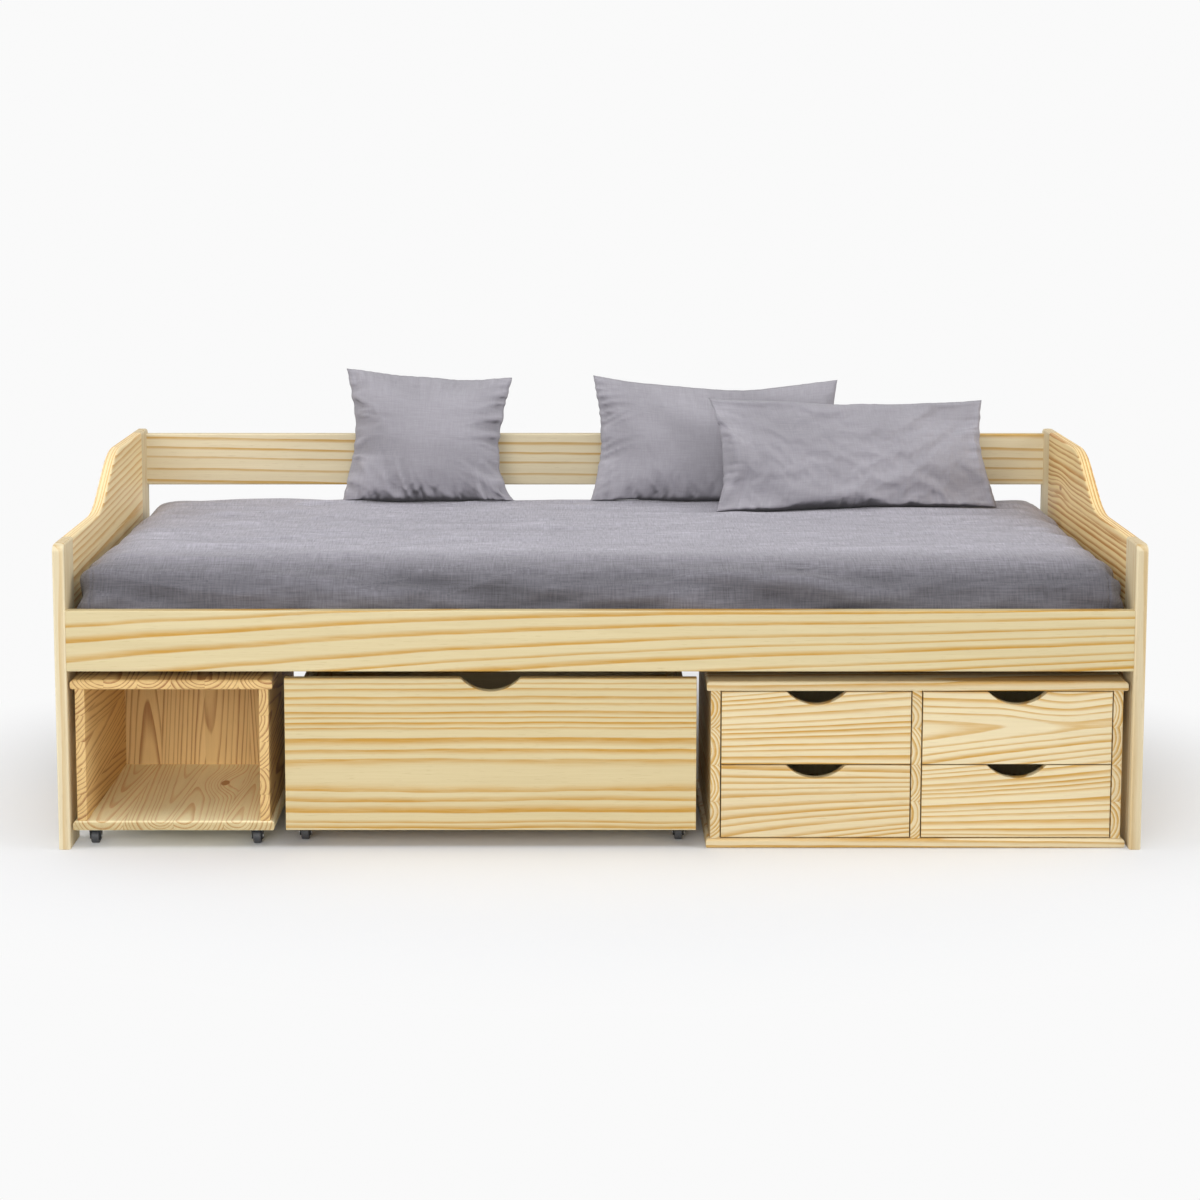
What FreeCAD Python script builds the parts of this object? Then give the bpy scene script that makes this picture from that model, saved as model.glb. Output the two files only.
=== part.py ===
import FreeCAD, Part
import math
import os
import Sketcher
from FreeCAD import Placement, Rotation, Vector
from types import SimpleNamespace

# A pine day bed for one, with three storage units under it.
# Above: two shaped ends, rails, slats, a mattress, a cushion and two pillows.
# Below: an open box on castors, a wide drawer on castors and a chest of four small drawers.
# X runs along the bed, Y from front to back, Z up from the floor; the origin is under the middle.

DIMENSIONS = {
    # Bed ends
    "inner_length": 2000,       # clear length between the two ends
    "bed_depth": 950,           # from the front of the legs to the back
    "leg_thick": 22,
    "leg_width": 90,
    "leg_top_round": 16,
    "end_rise": 126,            # how far the front of an end stands above the rails
    "sweep_drop": 104,          # how much higher the back of an end is than its front
    "sweep_slope": 30,          # degrees, steepest part of the S
    "sweep_radius": 200,
    "sweep_straight": 4,        # least straight part between the two bends of the S
    "panel_bottom": 200,
    "edge_round": 5,
    # Rails
    "rail_inset": 3,            # from the front or back of the legs
    "rail_thick": 22,
    "rail_bottom": 342,
    "rail_height": 116,
    "rest_height": 114,         # upper rail at the back
    "rest_top_gap": 11,
    "rail_round": 3,
    # Slats
    "batten_width": 22,
    "batten_height": 25,
    "batten_end_gap": 20,
    "slat_count": 14,
    "slat_width": 70,
    "slat_thick": 18,
    "slat_round": 3,
    "slat_end_play": 3,
    "slat_margin": 75,          # from an end to the middle of the first slat
    # Fasteners
    "fit_play": 0.05,
    "bolt_width": 7,
    "bolt_head_width": 17,
    "bolt_head_height": 2.5,
    "bolt_socket_width": 5,
    "bolt_socket_depth": 1.6,
    "bolt_tail": 6,             # how far a bolt goes on past its nut
    "bolt_margin": 28,          # from a rail's edge to a bolt
    "nut_width": 12,
    "nut_tip": 6,               # how far a nut goes on past its bolt's middle
    "nut_setback": 34,
    "dowel_width": 8,
    "dowel_length": 30,
    "dowel_sink": 10,           # how far a dowel goes into a board's face
    "dowel_margin": 40,
    "screw_width": 4,
    "screw_head_width": 8,
    "screw_head_height": 2.5,
    "screw_tip": 4,
    "screw_bite": 14,           # how far a screw goes into the second piece
    "dowels_in_row": 3,
    "drawer_screws_in_row": 4,
    # Mattress and cushions
    "mattress_thick": 155,
    "mattress_end_gap": 11,
    "mattress_side_gap": 6,
    "mattress_corner": 15,      # how much rounder the upright corners are than the top edge
    "mattress_top_round": 30,
    "mattress_under_round": 14,
    "soft_gap": 0.3,
    "cushion_width": 384,
    "cushion_height": 306,
    "cushion_thick": 125,
    "cushion_lean": 17,
    "cushion_end_gap": 441,     # from the left end of the bed
    "pillow_width": 550,
    "pillow_height": 290,
    "pillow_thick": 115,
    "pillow_lean": 17,
    "pillow_gap": 161,          # from the square cushion
    "front_pillow_width": 616,
    "front_pillow_height": 256,
    "front_pillow_thick": 118,
    "front_pillow_lean": 22,
    "front_pillow_turn": 5,
    "front_pillow_end_gap": 133,    # from the right end of the bed
    "side_pull": 13,            # how far a cushion's sides draw in between its corners
    "crown_share": 0.18,        # size of a cushion's flattest part against its outline
    "crown_rings": 5,           # outlines that shape each half of a cushion
    # Storage units
    "board_thick": 18,
    "back_thick": 12,
    "unit_depth": 435,
    "unit_setback": 10,         # from the front of the legs to the units
    "unit_lip": 4,              # how far tops and bottoms stand out past the walls
    "unit_overhang": 8,
    "lip_round_over": 7,
    "lip_round_under": 4,
    "wall_round": 1.5,
    "cube_end_gap": 4,
    "cube_width": 380,
    "cube_headroom": 18,        # under the rail
    "chest_end_gap": 7,
    "chest_width": 792,
    "chest_headroom": 21,
    "drawer_gap_left": 22,
    "drawer_gap_right": 19,
    "drawer_headroom": 15,
    "drawer_setback": 13,
    "drawer_depth": 600,
    "drawer_side_thick": 15,
    "drawer_side_inset": 18,
    "drawer_side_drop": 37,     # how far the sides stay below the front's top
    "drawer_bottom_thick": 12,
    "drawer_screw_margin": 130,
    # Fronts
    "scoop_width": 112,
    "scoop_depth": 25,
    "scoop_shoulder": 7,
    "front_round": 2,
    "front_play": 2,
    # Small drawers
    "tray_back_gap": 16,        # from a small drawer to the back of the chest
    "tray_side_gap": 2,
    "tray_side_thick": 14,
    "tray_side_drop": 27.5,     # how far the sides stay below the front's top
    "tray_lift": 6,
    "tray_bottom_thick": 6,
    "tray_bottom_lift": 8,
    "tray_bottom_sink": 5,
    "runner_width": 8,
    "runner_height": 14,
    "runner_play": 0.4,
    "runner_front_gap": 4,
    # Castors
    "wheel_width": 15,
    "wheel_diameter": 28,
    "wheel_chamfer": 1.5,
    "hub_wall": 3,
    "rim_thick": 4,
    "web_thick": 8,
    "wheel_side_play": 0.6,
    "wheel_top_gap": 4,
    "axle_width": 4,
    "axle_play": 0.06,
    "axle_head_width": 7,
    "axle_head_height": 1,
    "cheek_thick": 2.5,
    "cheek_top": 26,
    "cheek_foot": 12,
    "cheek_foot_round": 4.8,
    "plate_length": 52,
    "plate_side_margin": 1.4,   # how far a plate stands out past the cheeks
    "plate_thick": 2,
    "plate_screw_margin": 6,    # from a plate's end to a screw
    "plate_screw_bite": 7,
    "plate_screw_width": 3,
    "plate_screw_head_width": 6,
    "plate_screw_head_height": 1.6,
    "cube_plate_side": 24,      # from the side of the open box to a plate
    "cube_plate_end": 12,
    "drawer_plate_side": 1,     # from the side of the wide drawer's box to a plate
    "drawer_plate_end": 16,
}

doc = FreeCAD.newDocument("day_bed")
sheet = doc.addObject("Spreadsheet::Sheet", "dims")
for row, (alias, number) in enumerate(DIMENSIONS.items(), start=1):
    sheet.set(f"A{row}", alias)
    sheet.set(f"B{row}", str(number))
    sheet.setAlias(f"B{row}", alias)
doc.recompute()


class Size:
    # A measure that carries its spreadsheet formula and its present value together.
    def __init__(self, formula, value):
        self.formula = formula
        self.value = value

    def __add__(self, other):
        other = as_size(other)
        return Size(f"({self.formula} + {other.formula})", self.value + other.value)

    def __sub__(self, other):
        other = as_size(other)
        return Size(f"({self.formula} - {other.formula})", self.value - other.value)

    def __mul__(self, other):
        other = as_size(other)
        return Size(f"({self.formula} * {other.formula})", self.value * other.value)

    def __truediv__(self, other):
        other = as_size(other)
        return Size(f"({self.formula} / {other.formula})", self.value / other.value)

    def __neg__(self):
        return Size(f"(-{self.formula})", -self.value)


def as_size(thing):
    if isinstance(thing, Size):
        return thing
    return Size(f"({thing})", thing)


def tangent(angle):
    return Size(f"tan({angle.formula})", math.tan(math.radians(angle.value)))


def smaller(one, other):
    return Size(f"min({one.formula}; {other.formula})", min(one.value, other.value))


d = SimpleNamespace(**{alias: Size(f"dims.{alias}", float(sheet.get(alias))) for alias in DIMENSIONS})
nodes = []
TOUCH = 0.001       # two places closer than this are the same place
FINENESS = 0.5      # of the facets that find the lowest place of a cushion
SETTLING = 12       # steps that bring a cushion up to what is behind it
ROUND_LIMIT = 0.45  # widest round at a foot, against the foot's width

TURNS = {
    "+x": Rotation(Vector(0, 1, 0), 90),
    "-x": Rotation(Vector(0, 1, 0), -90),
    "+y": Rotation(Vector(1, 0, 0), -90),
    "-y": Rotation(Vector(1, 0, 0), 90),
    "+z": Rotation(),
    "-z": Rotation(Vector(1, 0, 0), 180),
}
HALF_TURN = Rotation(Vector(0, 0, 1), 180)


# Helpers

def node(piece):
    nodes.append(piece)
    return piece


def bind(thing, **sizes):
    for name, amount in sizes.items():
        thing.setExpression(name, as_size(amount).formula)


def put(thing, corner, turn=Rotation()):
    thing.Placement = Placement(Vector(), turn)
    for axis, reach in zip("xyz", corner):
        thing.setExpression(f"Placement.Base.{axis}", as_size(reach).formula)


def spot(towards, x, y, z):
    place = Vector(as_size(x).value, as_size(y).value, as_size(z).value)
    return Placement(place, TURNS[towards])


def spread(low, high, count):
    step = (high - low) / (count - 1)
    return [low + step * index for index in range(count)]


def box(label, x, y, z):
    block = doc.addObject("Part::Box", label)
    bind(block, Length=x[1] - x[0], Width=y[1] - y[0], Height=z[1] - z[0])
    put(block, (x[0], y[0], z[0]))
    return block


def eased(label, block, radius_of):
    doc.recompute()
    piece = doc.addObject("Part::Fillet", label)
    piece.Base = block
    radii = [(number, radius_of(edge)) for number, edge in enumerate(block.Shape.Edges, start=1)]
    piece.Edges = [(number, radius, radius) for number, radius in radii if radius > 0]
    return piece


def cut(label, blank, tool):
    piece = doc.addObject("Part::Cut", label)
    piece.Base = blank
    piece.Tool = tool
    return piece


def fuse(label, base, tool):
    piece = doc.addObject("Part::Fuse", label)
    piece.Base = base
    piece.Tool = tool
    return piece


def together(label, pieces):
    group = doc.addObject("Part::Compound", label)
    group.Links = pieces
    return group


def copies(label, master, spots):
    shapes = []
    for place in spots:
        shape = master.Shape.copy()
        shape.Placement = place.multiply(shape.Placement)
        shapes.append(shape)
    group = doc.addObject("Part::Feature", label)
    group.Shape = Part.makeCompound(shapes)
    return group


def drilled(label, blank, master, spots):
    return cut(label, blank, copies(f"{label}_holes", master, spots))


def cylinder(label, width, height, low=0):
    pin = doc.addObject("Part::Cylinder", label)
    bind(pin, Radius=width / 2, Height=height)
    put(pin, (0, 0, low))
    return pin


def sketch_on(body, role, name):
    plane = next(item for item in body.Origin.OriginFeatures if item.Role == role)
    sketch = body.newObject("Sketcher::SketchObject", f"{body.Label}_{name}")
    sketch.AttachmentSupport = [(plane, "")]
    sketch.MapMode = "FlatFace"
    return sketch


def hold(sketch, item, point, kind, axis, reach):
    reach = as_size(reach)
    if reach.value == 0:
        sketch.addConstraint(Sketcher.Constraint("PointOnObject", item, point, axis))
        return
    index = sketch.addConstraint(Sketcher.Constraint(kind, -1, 1, item, point, reach.value))
    sketch.setExpression(f"Constraints[{index}]", reach.formula)


def hold_at(sketch, item, point, place):
    hold(sketch, item, point, "DistanceX", -2, place[0])
    hold(sketch, item, point, "DistanceY", -1, place[1])


def outline(sketch, corners):
    points = [Vector(as_size(x).value, as_size(y).value, 0) for x, y in corners]
    following = points[1:] + points[:1]
    for start, end in zip(points, following):
        sketch.addGeometry(Part.LineSegment(start, end), False)
    count = len(corners)
    for index in range(count):
        sketch.addConstraint(Sketcher.Constraint("Coincident", index, 2, (index + 1) % count, 1))
    for index, corner in enumerate(corners):
        hold_at(sketch, index, 1, corner)


def circle(sketch, centre, radius):
    middle = Vector(as_size(centre[0]).value, as_size(centre[1]).value, 0)
    item = sketch.addGeometry(Part.Circle(middle, Vector(0, 0, 1), radius.value), False)
    hold_at(sketch, item, 3, centre)
    index = sketch.addConstraint(Sketcher.Constraint("Radius", item, radius.value))
    sketch.setExpression(f"Constraints[{index}]", radius.formula)


def swept(body, kind, sketch, length, side="One side"):
    feature = body.newObject(f"PartDesign::{kind}", f"{sketch.Label}_{kind.lower()}")
    feature.Profile = sketch
    feature.SideType = side
    bind(feature, Length=length)
    return feature


def revolved(body, sketch, axis):
    feature = body.newObject("PartDesign::Revolution", f"{sketch.Label}_turned")
    feature.Profile = sketch
    feature.ReferenceAxis = (sketch, [axis])
    return feature


def rounded(body, name, radius, wanted):
    doc.recompute()
    base = body.Tip
    numbered = enumerate(base.Shape.Edges, start=1)
    feature = body.newObject("PartDesign::Fillet", f"{body.Label}_{name}")
    feature.Base = (base, [f"Edge{number}" for number, edge in numbered if wanted(edge)])
    bind(feature, Radius=radius)
    return feature


def near(one, other):
    return abs(one - as_size(other).value) < TOUCH


def middle_of(edge):
    return edge.valueAt((edge.FirstParameter + edge.LastParameter) / 2)


# Where the main things are

front = -d.bed_depth / 2
back = d.bed_depth / 2
end_inner = d.inner_length / 2
end_outer = end_inner + d.leg_thick
rail_top = d.rail_bottom + d.rail_height
front_height = rail_top + d.end_rise
rear_height = front_height + d.sweep_drop
rest_top = rear_height - d.rest_top_gap
front_rail_inner = front + d.rail_inset + d.rail_thick
rear_rail_inner = back - d.rail_inset - d.rail_thick
front_rail_middle = front + d.rail_inset + d.rail_thick / 2
rear_rail_middle = back - d.rail_inset - d.rail_thick / 2
slat_low = d.rail_bottom + d.batten_height
slat_top = slat_low + d.slat_thick
mattress_top = slat_top + d.mattress_thick
cube_left = -end_inner + d.cube_end_gap
cube_top = d.rail_bottom - d.cube_headroom
chest_left = end_inner - d.chest_end_gap - d.chest_width
chest_top = d.rail_bottom - d.chest_headroom
wheel_radius = d.wheel_diameter / 2
caster_height = d.wheel_diameter + d.wheel_top_gap + d.plate_thick
axle_drop = caster_height - wheel_radius
wheel_space = d.wheel_width + d.wheel_side_play * 2
fork_width = wheel_space + d.cheek_thick * 2
plate_half_width = fork_width / 2 + d.plate_side_margin
plate_half_length = d.plate_length / 2
plate_screw_reach = plate_half_length - d.plate_screw_margin


# Patterns of the fasteners, each along Z from the face that it enters

def turned_pin(label, corners):
    body = doc.addObject("PartDesign::Body", label)
    sketch = sketch_on(body, "XZ_Plane", "profile")
    outline(sketch, corners)
    revolved(body, sketch, "V_Axis")
    return body


def screw_pattern(label, length):
    shank = d.screw_width / 2
    head = d.screw_head_width / 2
    return turned_pin(label, [
        (0, 0),
        (head, 0),
        (shank, d.screw_head_height),
        (shank, length - d.screw_tip),
        (0, length),
    ])


def screw_hole_pattern(label, length):
    play = d.fit_play
    shaft = cylinder(f"{label}_shaft", d.screw_width + play * 2, length)
    sink = doc.addObject("Part::Cone", f"{label}_sink")
    bind(sink, Radius1=d.screw_head_width / 2 + play, Radius2=d.screw_width / 2 + play)
    bind(sink, Height=d.screw_head_height)
    return fuse(label, shaft, sink)


bolt_length = d.leg_thick + d.nut_setback + d.nut_width / 2 + d.bolt_tail
bolt_blank = turned_pin("bolt_blank", [
    (0, 0),
    (d.bolt_head_width / 2, 0),
    (d.bolt_head_width / 2, d.bolt_head_height),
    (d.bolt_width / 2, d.bolt_head_height),
    (d.bolt_width / 2, bolt_length),
    (0, bolt_length),
])
socket = doc.addObject("Part::Prism", "bolt_socket")
socket.Polygon = 6
bind(socket, Circumradius=d.bolt_socket_width / math.sqrt(3), Height=d.bolt_socket_depth)
bolt = cut("bolt_pattern", bolt_blank, socket)

bolt_seat = cylinder("bolt_seat", d.bolt_head_width + d.fit_play * 2, d.bolt_head_height)
bolt_shaft = cylinder("bolt_shaft", d.bolt_width + d.fit_play * 2, bolt_length)
bolt_hole = fuse("bolt_hole", bolt_seat, bolt_shaft)

nut_length = d.rail_thick / 2 + d.nut_tip
nut_blank = cylinder("nut_blank", d.nut_width, nut_length)
nut_cross = cylinder("nut_cross", d.bolt_width + d.fit_play * 2, d.nut_width)
put(nut_cross, (-d.nut_width / 2, 0, d.rail_thick / 2), TURNS["+x"])
barrel_nut = cut("barrel_nut_pattern", nut_blank, nut_cross)
nut_hole = cylinder("nut_hole", d.nut_width + d.fit_play * 2, nut_length)

dowel = cylinder("dowel_pattern", d.dowel_width, d.dowel_length)
dowel_hole = cylinder("dowel_hole", d.dowel_width + d.fit_play * 2, d.dowel_length)

batten_screw = screw_pattern("batten_screw", d.batten_width + d.screw_bite)
batten_screw_hole = screw_hole_pattern("batten_screw_hole", d.batten_width + d.screw_bite)
slat_screw = screw_pattern("slat_screw", d.slat_thick + d.screw_bite)
slat_screw_hole = screw_hole_pattern("slat_screw_hole", d.slat_thick + d.screw_bite)
back_screw = screw_pattern("back_screw", d.back_thick + d.screw_bite)
back_screw_hole = screw_hole_pattern("back_screw_hole", d.back_thick + d.screw_bite)
drawer_screw = screw_pattern("drawer_screw", d.drawer_bottom_thick + d.screw_bite)
drawer_screw_hole = screw_hole_pattern("drawer_screw_hole", d.drawer_bottom_thick + d.screw_bite)

plate_screw_length = d.plate_thick + d.plate_screw_bite
plate_screw_head = cylinder(
    "plate_screw_head", d.plate_screw_head_width, d.plate_screw_head_height, -d.plate_screw_head_height
)
plate_screw_shaft = cylinder("plate_screw_shaft", d.plate_screw_width, plate_screw_length)
plate_screw = fuse("plate_screw_pattern", plate_screw_head, plate_screw_shaft)
plate_screw_hole = cylinder(
    "plate_screw_hole", d.plate_screw_width + d.fit_play * 2, plate_screw_length
)


# Patterns of the castor: fork below its plate's top, wheel on its own axis, axle pin along Z

def fork_pattern():
    body = doc.addObject("PartDesign::Body", "fork_pattern")
    plate = sketch_on(body, "XY_Plane", "plate")
    outline(plate, [
        (-plate_half_width, -plate_half_length),
        (plate_half_width, -plate_half_length),
        (plate_half_width, plate_half_length),
        (-plate_half_width, plate_half_length),
    ])
    swept(body, "Pad", plate, d.plate_thick).Reversed = True
    foot = -(axle_drop + d.cheek_foot / 2)
    cheek = sketch_on(body, "YZ_Plane", "cheek")
    outline(cheek, [
        (-d.cheek_top / 2, -d.plate_thick),
        (d.cheek_top / 2, -d.plate_thick),
        (d.cheek_foot / 2, foot),
        (-d.cheek_foot / 2, foot),
    ])
    swept(body, "Pad", cheek, fork_width, "Symmetric")
    foot_round = smaller(d.cheek_foot_round, d.cheek_foot * ROUND_LIMIT)
    rounded(body, "foot_round", foot_round, lambda edge: near(middle_of(edge).z, foot)
            and edge.BoundBox.XLength > TOUCH)
    slot = sketch_on(body, "YZ_Plane", "slot")
    outline(slot, [
        (-plate_half_length, -d.plate_thick),
        (plate_half_length, -d.plate_thick),
        (plate_half_length, -caster_height),
        (-plate_half_length, -caster_height),
    ])
    swept(body, "Pocket", slot, wheel_space, "Symmetric")
    bore = sketch_on(body, "YZ_Plane", "bore")
    circle(bore, (0, -axle_drop), d.axle_width / 2 + d.fit_play)
    swept(body, "Pocket", bore, fork_width * 2, "Symmetric")
    holes = sketch_on(body, "XY_Plane", "screw_holes")
    for side in (-1, 1):
        circle(holes, (0, plate_screw_reach * side), d.plate_screw_width / 2 + d.fit_play)
    swept(body, "Pocket", holes, d.plate_thick * 2, "Symmetric")
    return body


def wheel_pattern():
    half = d.wheel_width / 2
    bore = d.axle_width / 2 + d.axle_play
    hub = bore + d.hub_wall
    rim = wheel_radius - d.rim_thick
    web = d.web_thick / 2
    body = doc.addObject("PartDesign::Body", "wheel_pattern")
    sketch = sketch_on(body, "XZ_Plane", "profile")
    outline(sketch, [
        (-half, bore),
        (half, bore),
        (half, hub),
        (web, hub),
        (web, rim),
        (half, rim),
        (half, wheel_radius - d.wheel_chamfer),
        (half - d.wheel_chamfer, wheel_radius),
        (-(half - d.wheel_chamfer), wheel_radius),
        (-half, wheel_radius - d.wheel_chamfer),
        (-half, rim),
        (-web, rim),
        (-web, hub),
        (-half, hub),
    ])
    revolved(body, sketch, "H_Axis")
    return body


fork = fork_pattern()
wheel = wheel_pattern()
axle_pin = turned_pin("axle_pattern", [
    (0, -d.axle_head_height),
    (d.axle_head_width / 2, -d.axle_head_height),
    (d.axle_head_width / 2, 0),
    (d.axle_width / 2, 0),
    (d.axle_width / 2, fork_width),
    (d.axle_head_width / 2, fork_width),
    (d.axle_head_width / 2, fork_width + d.axle_head_height),
    (0, fork_width + d.axle_head_height),
])
doc.recompute()


# Bed ends: a front leg, a rear leg and a panel between them, with dowels at both joints

def leg_blank(label, height, corner, turn):
    body = doc.addObject("PartDesign::Body", f"{label}_blank")
    sketch = sketch_on(body, "YZ_Plane", "side")
    outline(sketch, [(0, 0), (d.leg_width, 0), (d.leg_width, height), (0, height)])
    swept(body, "Pad", sketch, d.leg_thick)
    rounded(body, "top_round", d.leg_top_round, lambda edge: edge.BoundBox.XLength > TOUCH
            and near(middle_of(edge).y, 0) and near(middle_of(edge).z, height))
    rounded(body, "edge_round", d.edge_round, lambda edge: edge.BoundBox.XLength < TOUCH
            and not near(middle_of(edge).z, 0) and not near(middle_of(edge).y, d.leg_width)
            and edge.BoundBox.YMin < d.leg_width.value - TOUCH)
    put(body, corner, turn)
    return body


def panel_blank(label, left):
    length = d.bed_depth - d.leg_width * 2
    low = front_height - d.panel_bottom
    high = rear_height - d.panel_bottom
    run = d.sweep_drop / tangent(d.sweep_slope)
    sloped = d.sweep_drop * d.sweep_drop + run * run
    slope_length = Size(f"sqrt({sloped.formula})", math.sqrt(sloped.value))
    widest = (slope_length - d.sweep_straight) / 2 / tangent(d.sweep_slope / 2)
    radius = smaller(d.sweep_radius, widest)
    body = doc.addObject("PartDesign::Body", f"{label}_blank")
    sketch = sketch_on(body, "YZ_Plane", "side")
    outline(sketch, [
        (0, 0),
        (length, 0),
        (length, high),
        (length / 2 + run / 2, high),
        (length / 2 - run / 2, low),
        (0, low),
    ])
    swept(body, "Pad", sketch, d.leg_thick)
    rounded(body, "sweep", radius, lambda edge: edge.BoundBox.XLength > TOUCH
            and TOUCH < middle_of(edge).y < length.value - TOUCH)
    rounded(body, "edge_round", d.edge_round, lambda edge: edge.BoundBox.XLength < TOUCH
            and edge.BoundBox.YLength > TOUCH)
    put(body, (left, front + d.leg_width, d.panel_bottom))
    return body


rail_heights = (d.rail_bottom, rail_top)
rest_heights = (rest_top - d.rest_height, rest_top)
bolt_rows = [
    ("front", front_rail_middle, rail_heights),
    ("rear", rear_rail_middle, rail_heights),
    ("rest", rear_rail_middle, rest_heights),
]


def bolt_heights(low, high):
    return (low + d.bolt_margin, high - d.bolt_margin)


bolt_spots = {}
for rail_name, y, heights in bolt_rows:
    for side, towards, x in (("left", "+x", -end_outer), ("right", "-x", end_outer)):
        bolt_spots[rail_name, side] = [spot(towards, x, y, z) for z in bolt_heights(*heights)]

dowel_count = int(d.dowels_in_row.value)
dowel_heights = spread(d.panel_bottom + d.dowel_margin, front_height - d.dowel_margin, dowel_count)
panel_dowels = []


def bed_end(side, left):
    middle = left + d.leg_thick / 2
    front_joint = front + d.leg_width - d.dowel_length / 2
    rear_joint = back - d.leg_width - d.dowel_length / 2
    front_dowels = [spot("+y", middle, front_joint, height) for height in dowel_heights]
    rear_dowels = [spot("+y", middle, rear_joint, height) for height in dowel_heights]
    panel_dowels.extend(front_dowels + rear_dowels)

    front_leg = leg_blank(f"{side}_front_leg", front_height, (left, front, 0), Rotation())
    doweled = drilled(f"{side}_front_leg_doweled", front_leg, dowel_hole, front_dowels)
    node(drilled(f"{side}_front_leg", doweled, bolt_hole, bolt_spots["front", side]))

    rear_leg = leg_blank(f"{side}_rear_leg", rear_height, (left + d.leg_thick, back, 0), HALF_TURN)
    doweled = drilled(f"{side}_rear_leg_doweled", rear_leg, dowel_hole, rear_dowels)
    rear_bolts = bolt_spots["rear", side] + bolt_spots["rest", side]
    node(drilled(f"{side}_rear_leg", doweled, bolt_hole, rear_bolts))

    panel = panel_blank(f"{side}_end_panel", left)
    node(drilled(f"{side}_end_panel", panel, dowel_hole, front_dowels + rear_dowels))


bed_end("left", -end_outer)
bed_end("right", end_inner)


# Rails between the ends, each held by two bolts and barrel nuts at each end

nut_spots = []


def rail(label, bolt_name, y, z, nut_face, towards):
    blank = box(f"{label}_blank", (-end_inner, end_inner), y, z)
    smooth = eased(f"{label}_eased", blank,
                   lambda edge: d.rail_round.value if edge.BoundBox.XLength > TOUCH else 0)
    bolts = bolt_spots[bolt_name, "left"] + bolt_spots[bolt_name, "right"]
    bolted = drilled(f"{label}_bolted", smooth, bolt_hole, bolts)
    nuts = []
    for x in (-(end_inner - d.nut_setback), end_inner - d.nut_setback):
        nuts.extend(spot(towards, x, nut_face, height) for height in bolt_heights(*z))
    nut_spots.extend(nuts)
    return drilled(label, bolted, nut_hole, nuts)


# Slats on battens that are screwed to the two lower rails

slat_step = (d.inner_length - d.slat_margin * 2) / (d.slat_count - 1)
slat_places = [-end_inner + d.slat_margin + slat_step * index for index in range(int(d.slat_count.value))]
batten_length = (-end_inner + d.batten_end_gap, end_inner - d.batten_end_gap)
batten_heights = (d.rail_bottom, slat_low)
batten_middle = (d.rail_bottom + slat_low) / 2
front_batten_inner = front_rail_inner + d.batten_width
rear_batten_inner = rear_rail_inner - d.batten_width
batten_screw_places = [place + slat_step / 2 for place in slat_places[:-1:2]]
batten_screw_spots = {
    "front": [spot("-y", x, front_batten_inner, batten_middle) for x in batten_screw_places],
    "rear": [spot("+y", x, rear_batten_inner, batten_middle) for x in batten_screw_places],
}
slat_screw_lines = (front_rail_inner + d.batten_width / 2, rear_rail_inner - d.batten_width / 2)
slat_screw_spots = [spot("-z", x, y, slat_top) for x in slat_places for y in slat_screw_lines]


def lower_rail(name, y, nut_face, towards):
    unscrewed = rail(f"{name}_rail_unscrewed", name, y, rail_heights, nut_face, towards)
    node(drilled(f"{name}_rail", unscrewed, batten_screw_hole, batten_screw_spots[name]))


lower_rail("front", (front + d.rail_inset, front_rail_inner), front_rail_inner, "-y")
lower_rail("rear", (rear_rail_inner, back - d.rail_inset), rear_rail_inner, "+y")
rest_depth = (rear_rail_inner, back - d.rail_inset)
node(rail("backrest_rail", "rest", rest_depth, rest_heights, back - d.rail_inset, "-y"))

all_batten_screws = batten_screw_spots["front"] + batten_screw_spots["rear"]
front_batten = box("front_batten", batten_length, (front_rail_inner, front_batten_inner), batten_heights)
rear_batten = box("rear_batten", batten_length, (rear_batten_inner, rear_rail_inner), batten_heights)
battens = together("battens_blank", [front_batten, rear_batten])
side_drilled = drilled("battens_side_drilled", battens, batten_screw_hole, all_batten_screws)
node(drilled("slat_battens", side_drilled, slat_screw_hole, slat_screw_spots))


def slat(index, middle):
    blank = box(
        f"slat_{index}_blank",
        (middle - d.slat_width / 2, middle + d.slat_width / 2),
        (front_rail_inner + d.slat_end_play, rear_rail_inner - d.slat_end_play),
        (slat_low, slat_top),
    )
    return eased(f"slat_{index}", blank,
                 lambda edge: d.slat_round.value if edge.BoundBox.YLength > TOUCH else 0)


slats = together("slats_blank", [slat(index, middle) for index, middle in enumerate(slat_places)])
node(drilled("bed_slats", slats, slat_screw_hole, slat_screw_spots))

every_bolt = [place for places in bolt_spots.values() for place in places]
node(copies("rail_bolts", bolt, every_bolt))
node(copies("barrel_nuts", barrel_nut, nut_spots))
node(copies("panel_dowels", dowel, panel_dowels))
node(together("slat_screws", [
    copies("batten_screw_set", batten_screw, all_batten_screws),
    copies("slat_screw_set", slat_screw, slat_screw_spots),
]))


# Mattress

mattress = doc.addObject("PartDesign::Body", "mattress")
mattress_length = d.inner_length - d.mattress_end_gap * 2
mattress_width = rear_rail_inner - front_rail_inner - d.mattress_side_gap * 2
mattress_plan = sketch_on(mattress, "XY_Plane", "plan")
outline(mattress_plan, [
    (0, 0),
    (mattress_length, 0),
    (mattress_length, mattress_width),
    (0, mattress_width),
])
swept(mattress, "Pad", mattress_plan, d.mattress_thick)
mattress_corner = d.mattress_top_round + d.mattress_corner
rounded(mattress, "corners", mattress_corner, lambda edge: edge.BoundBox.ZLength > TOUCH)
rounded(mattress, "under", d.mattress_under_round, lambda edge: near(edge.BoundBox.ZMax, 0))
rounded(mattress, "top", d.mattress_top_round, lambda edge: near(edge.BoundBox.ZMin, d.mattress_thick))
put(mattress, (-mattress_length / 2, front_rail_inner + d.mattress_side_gap, slat_top))
node(mattress)


# Cushions: two crowned halves sewn together along an outline whose sides draw in

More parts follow.
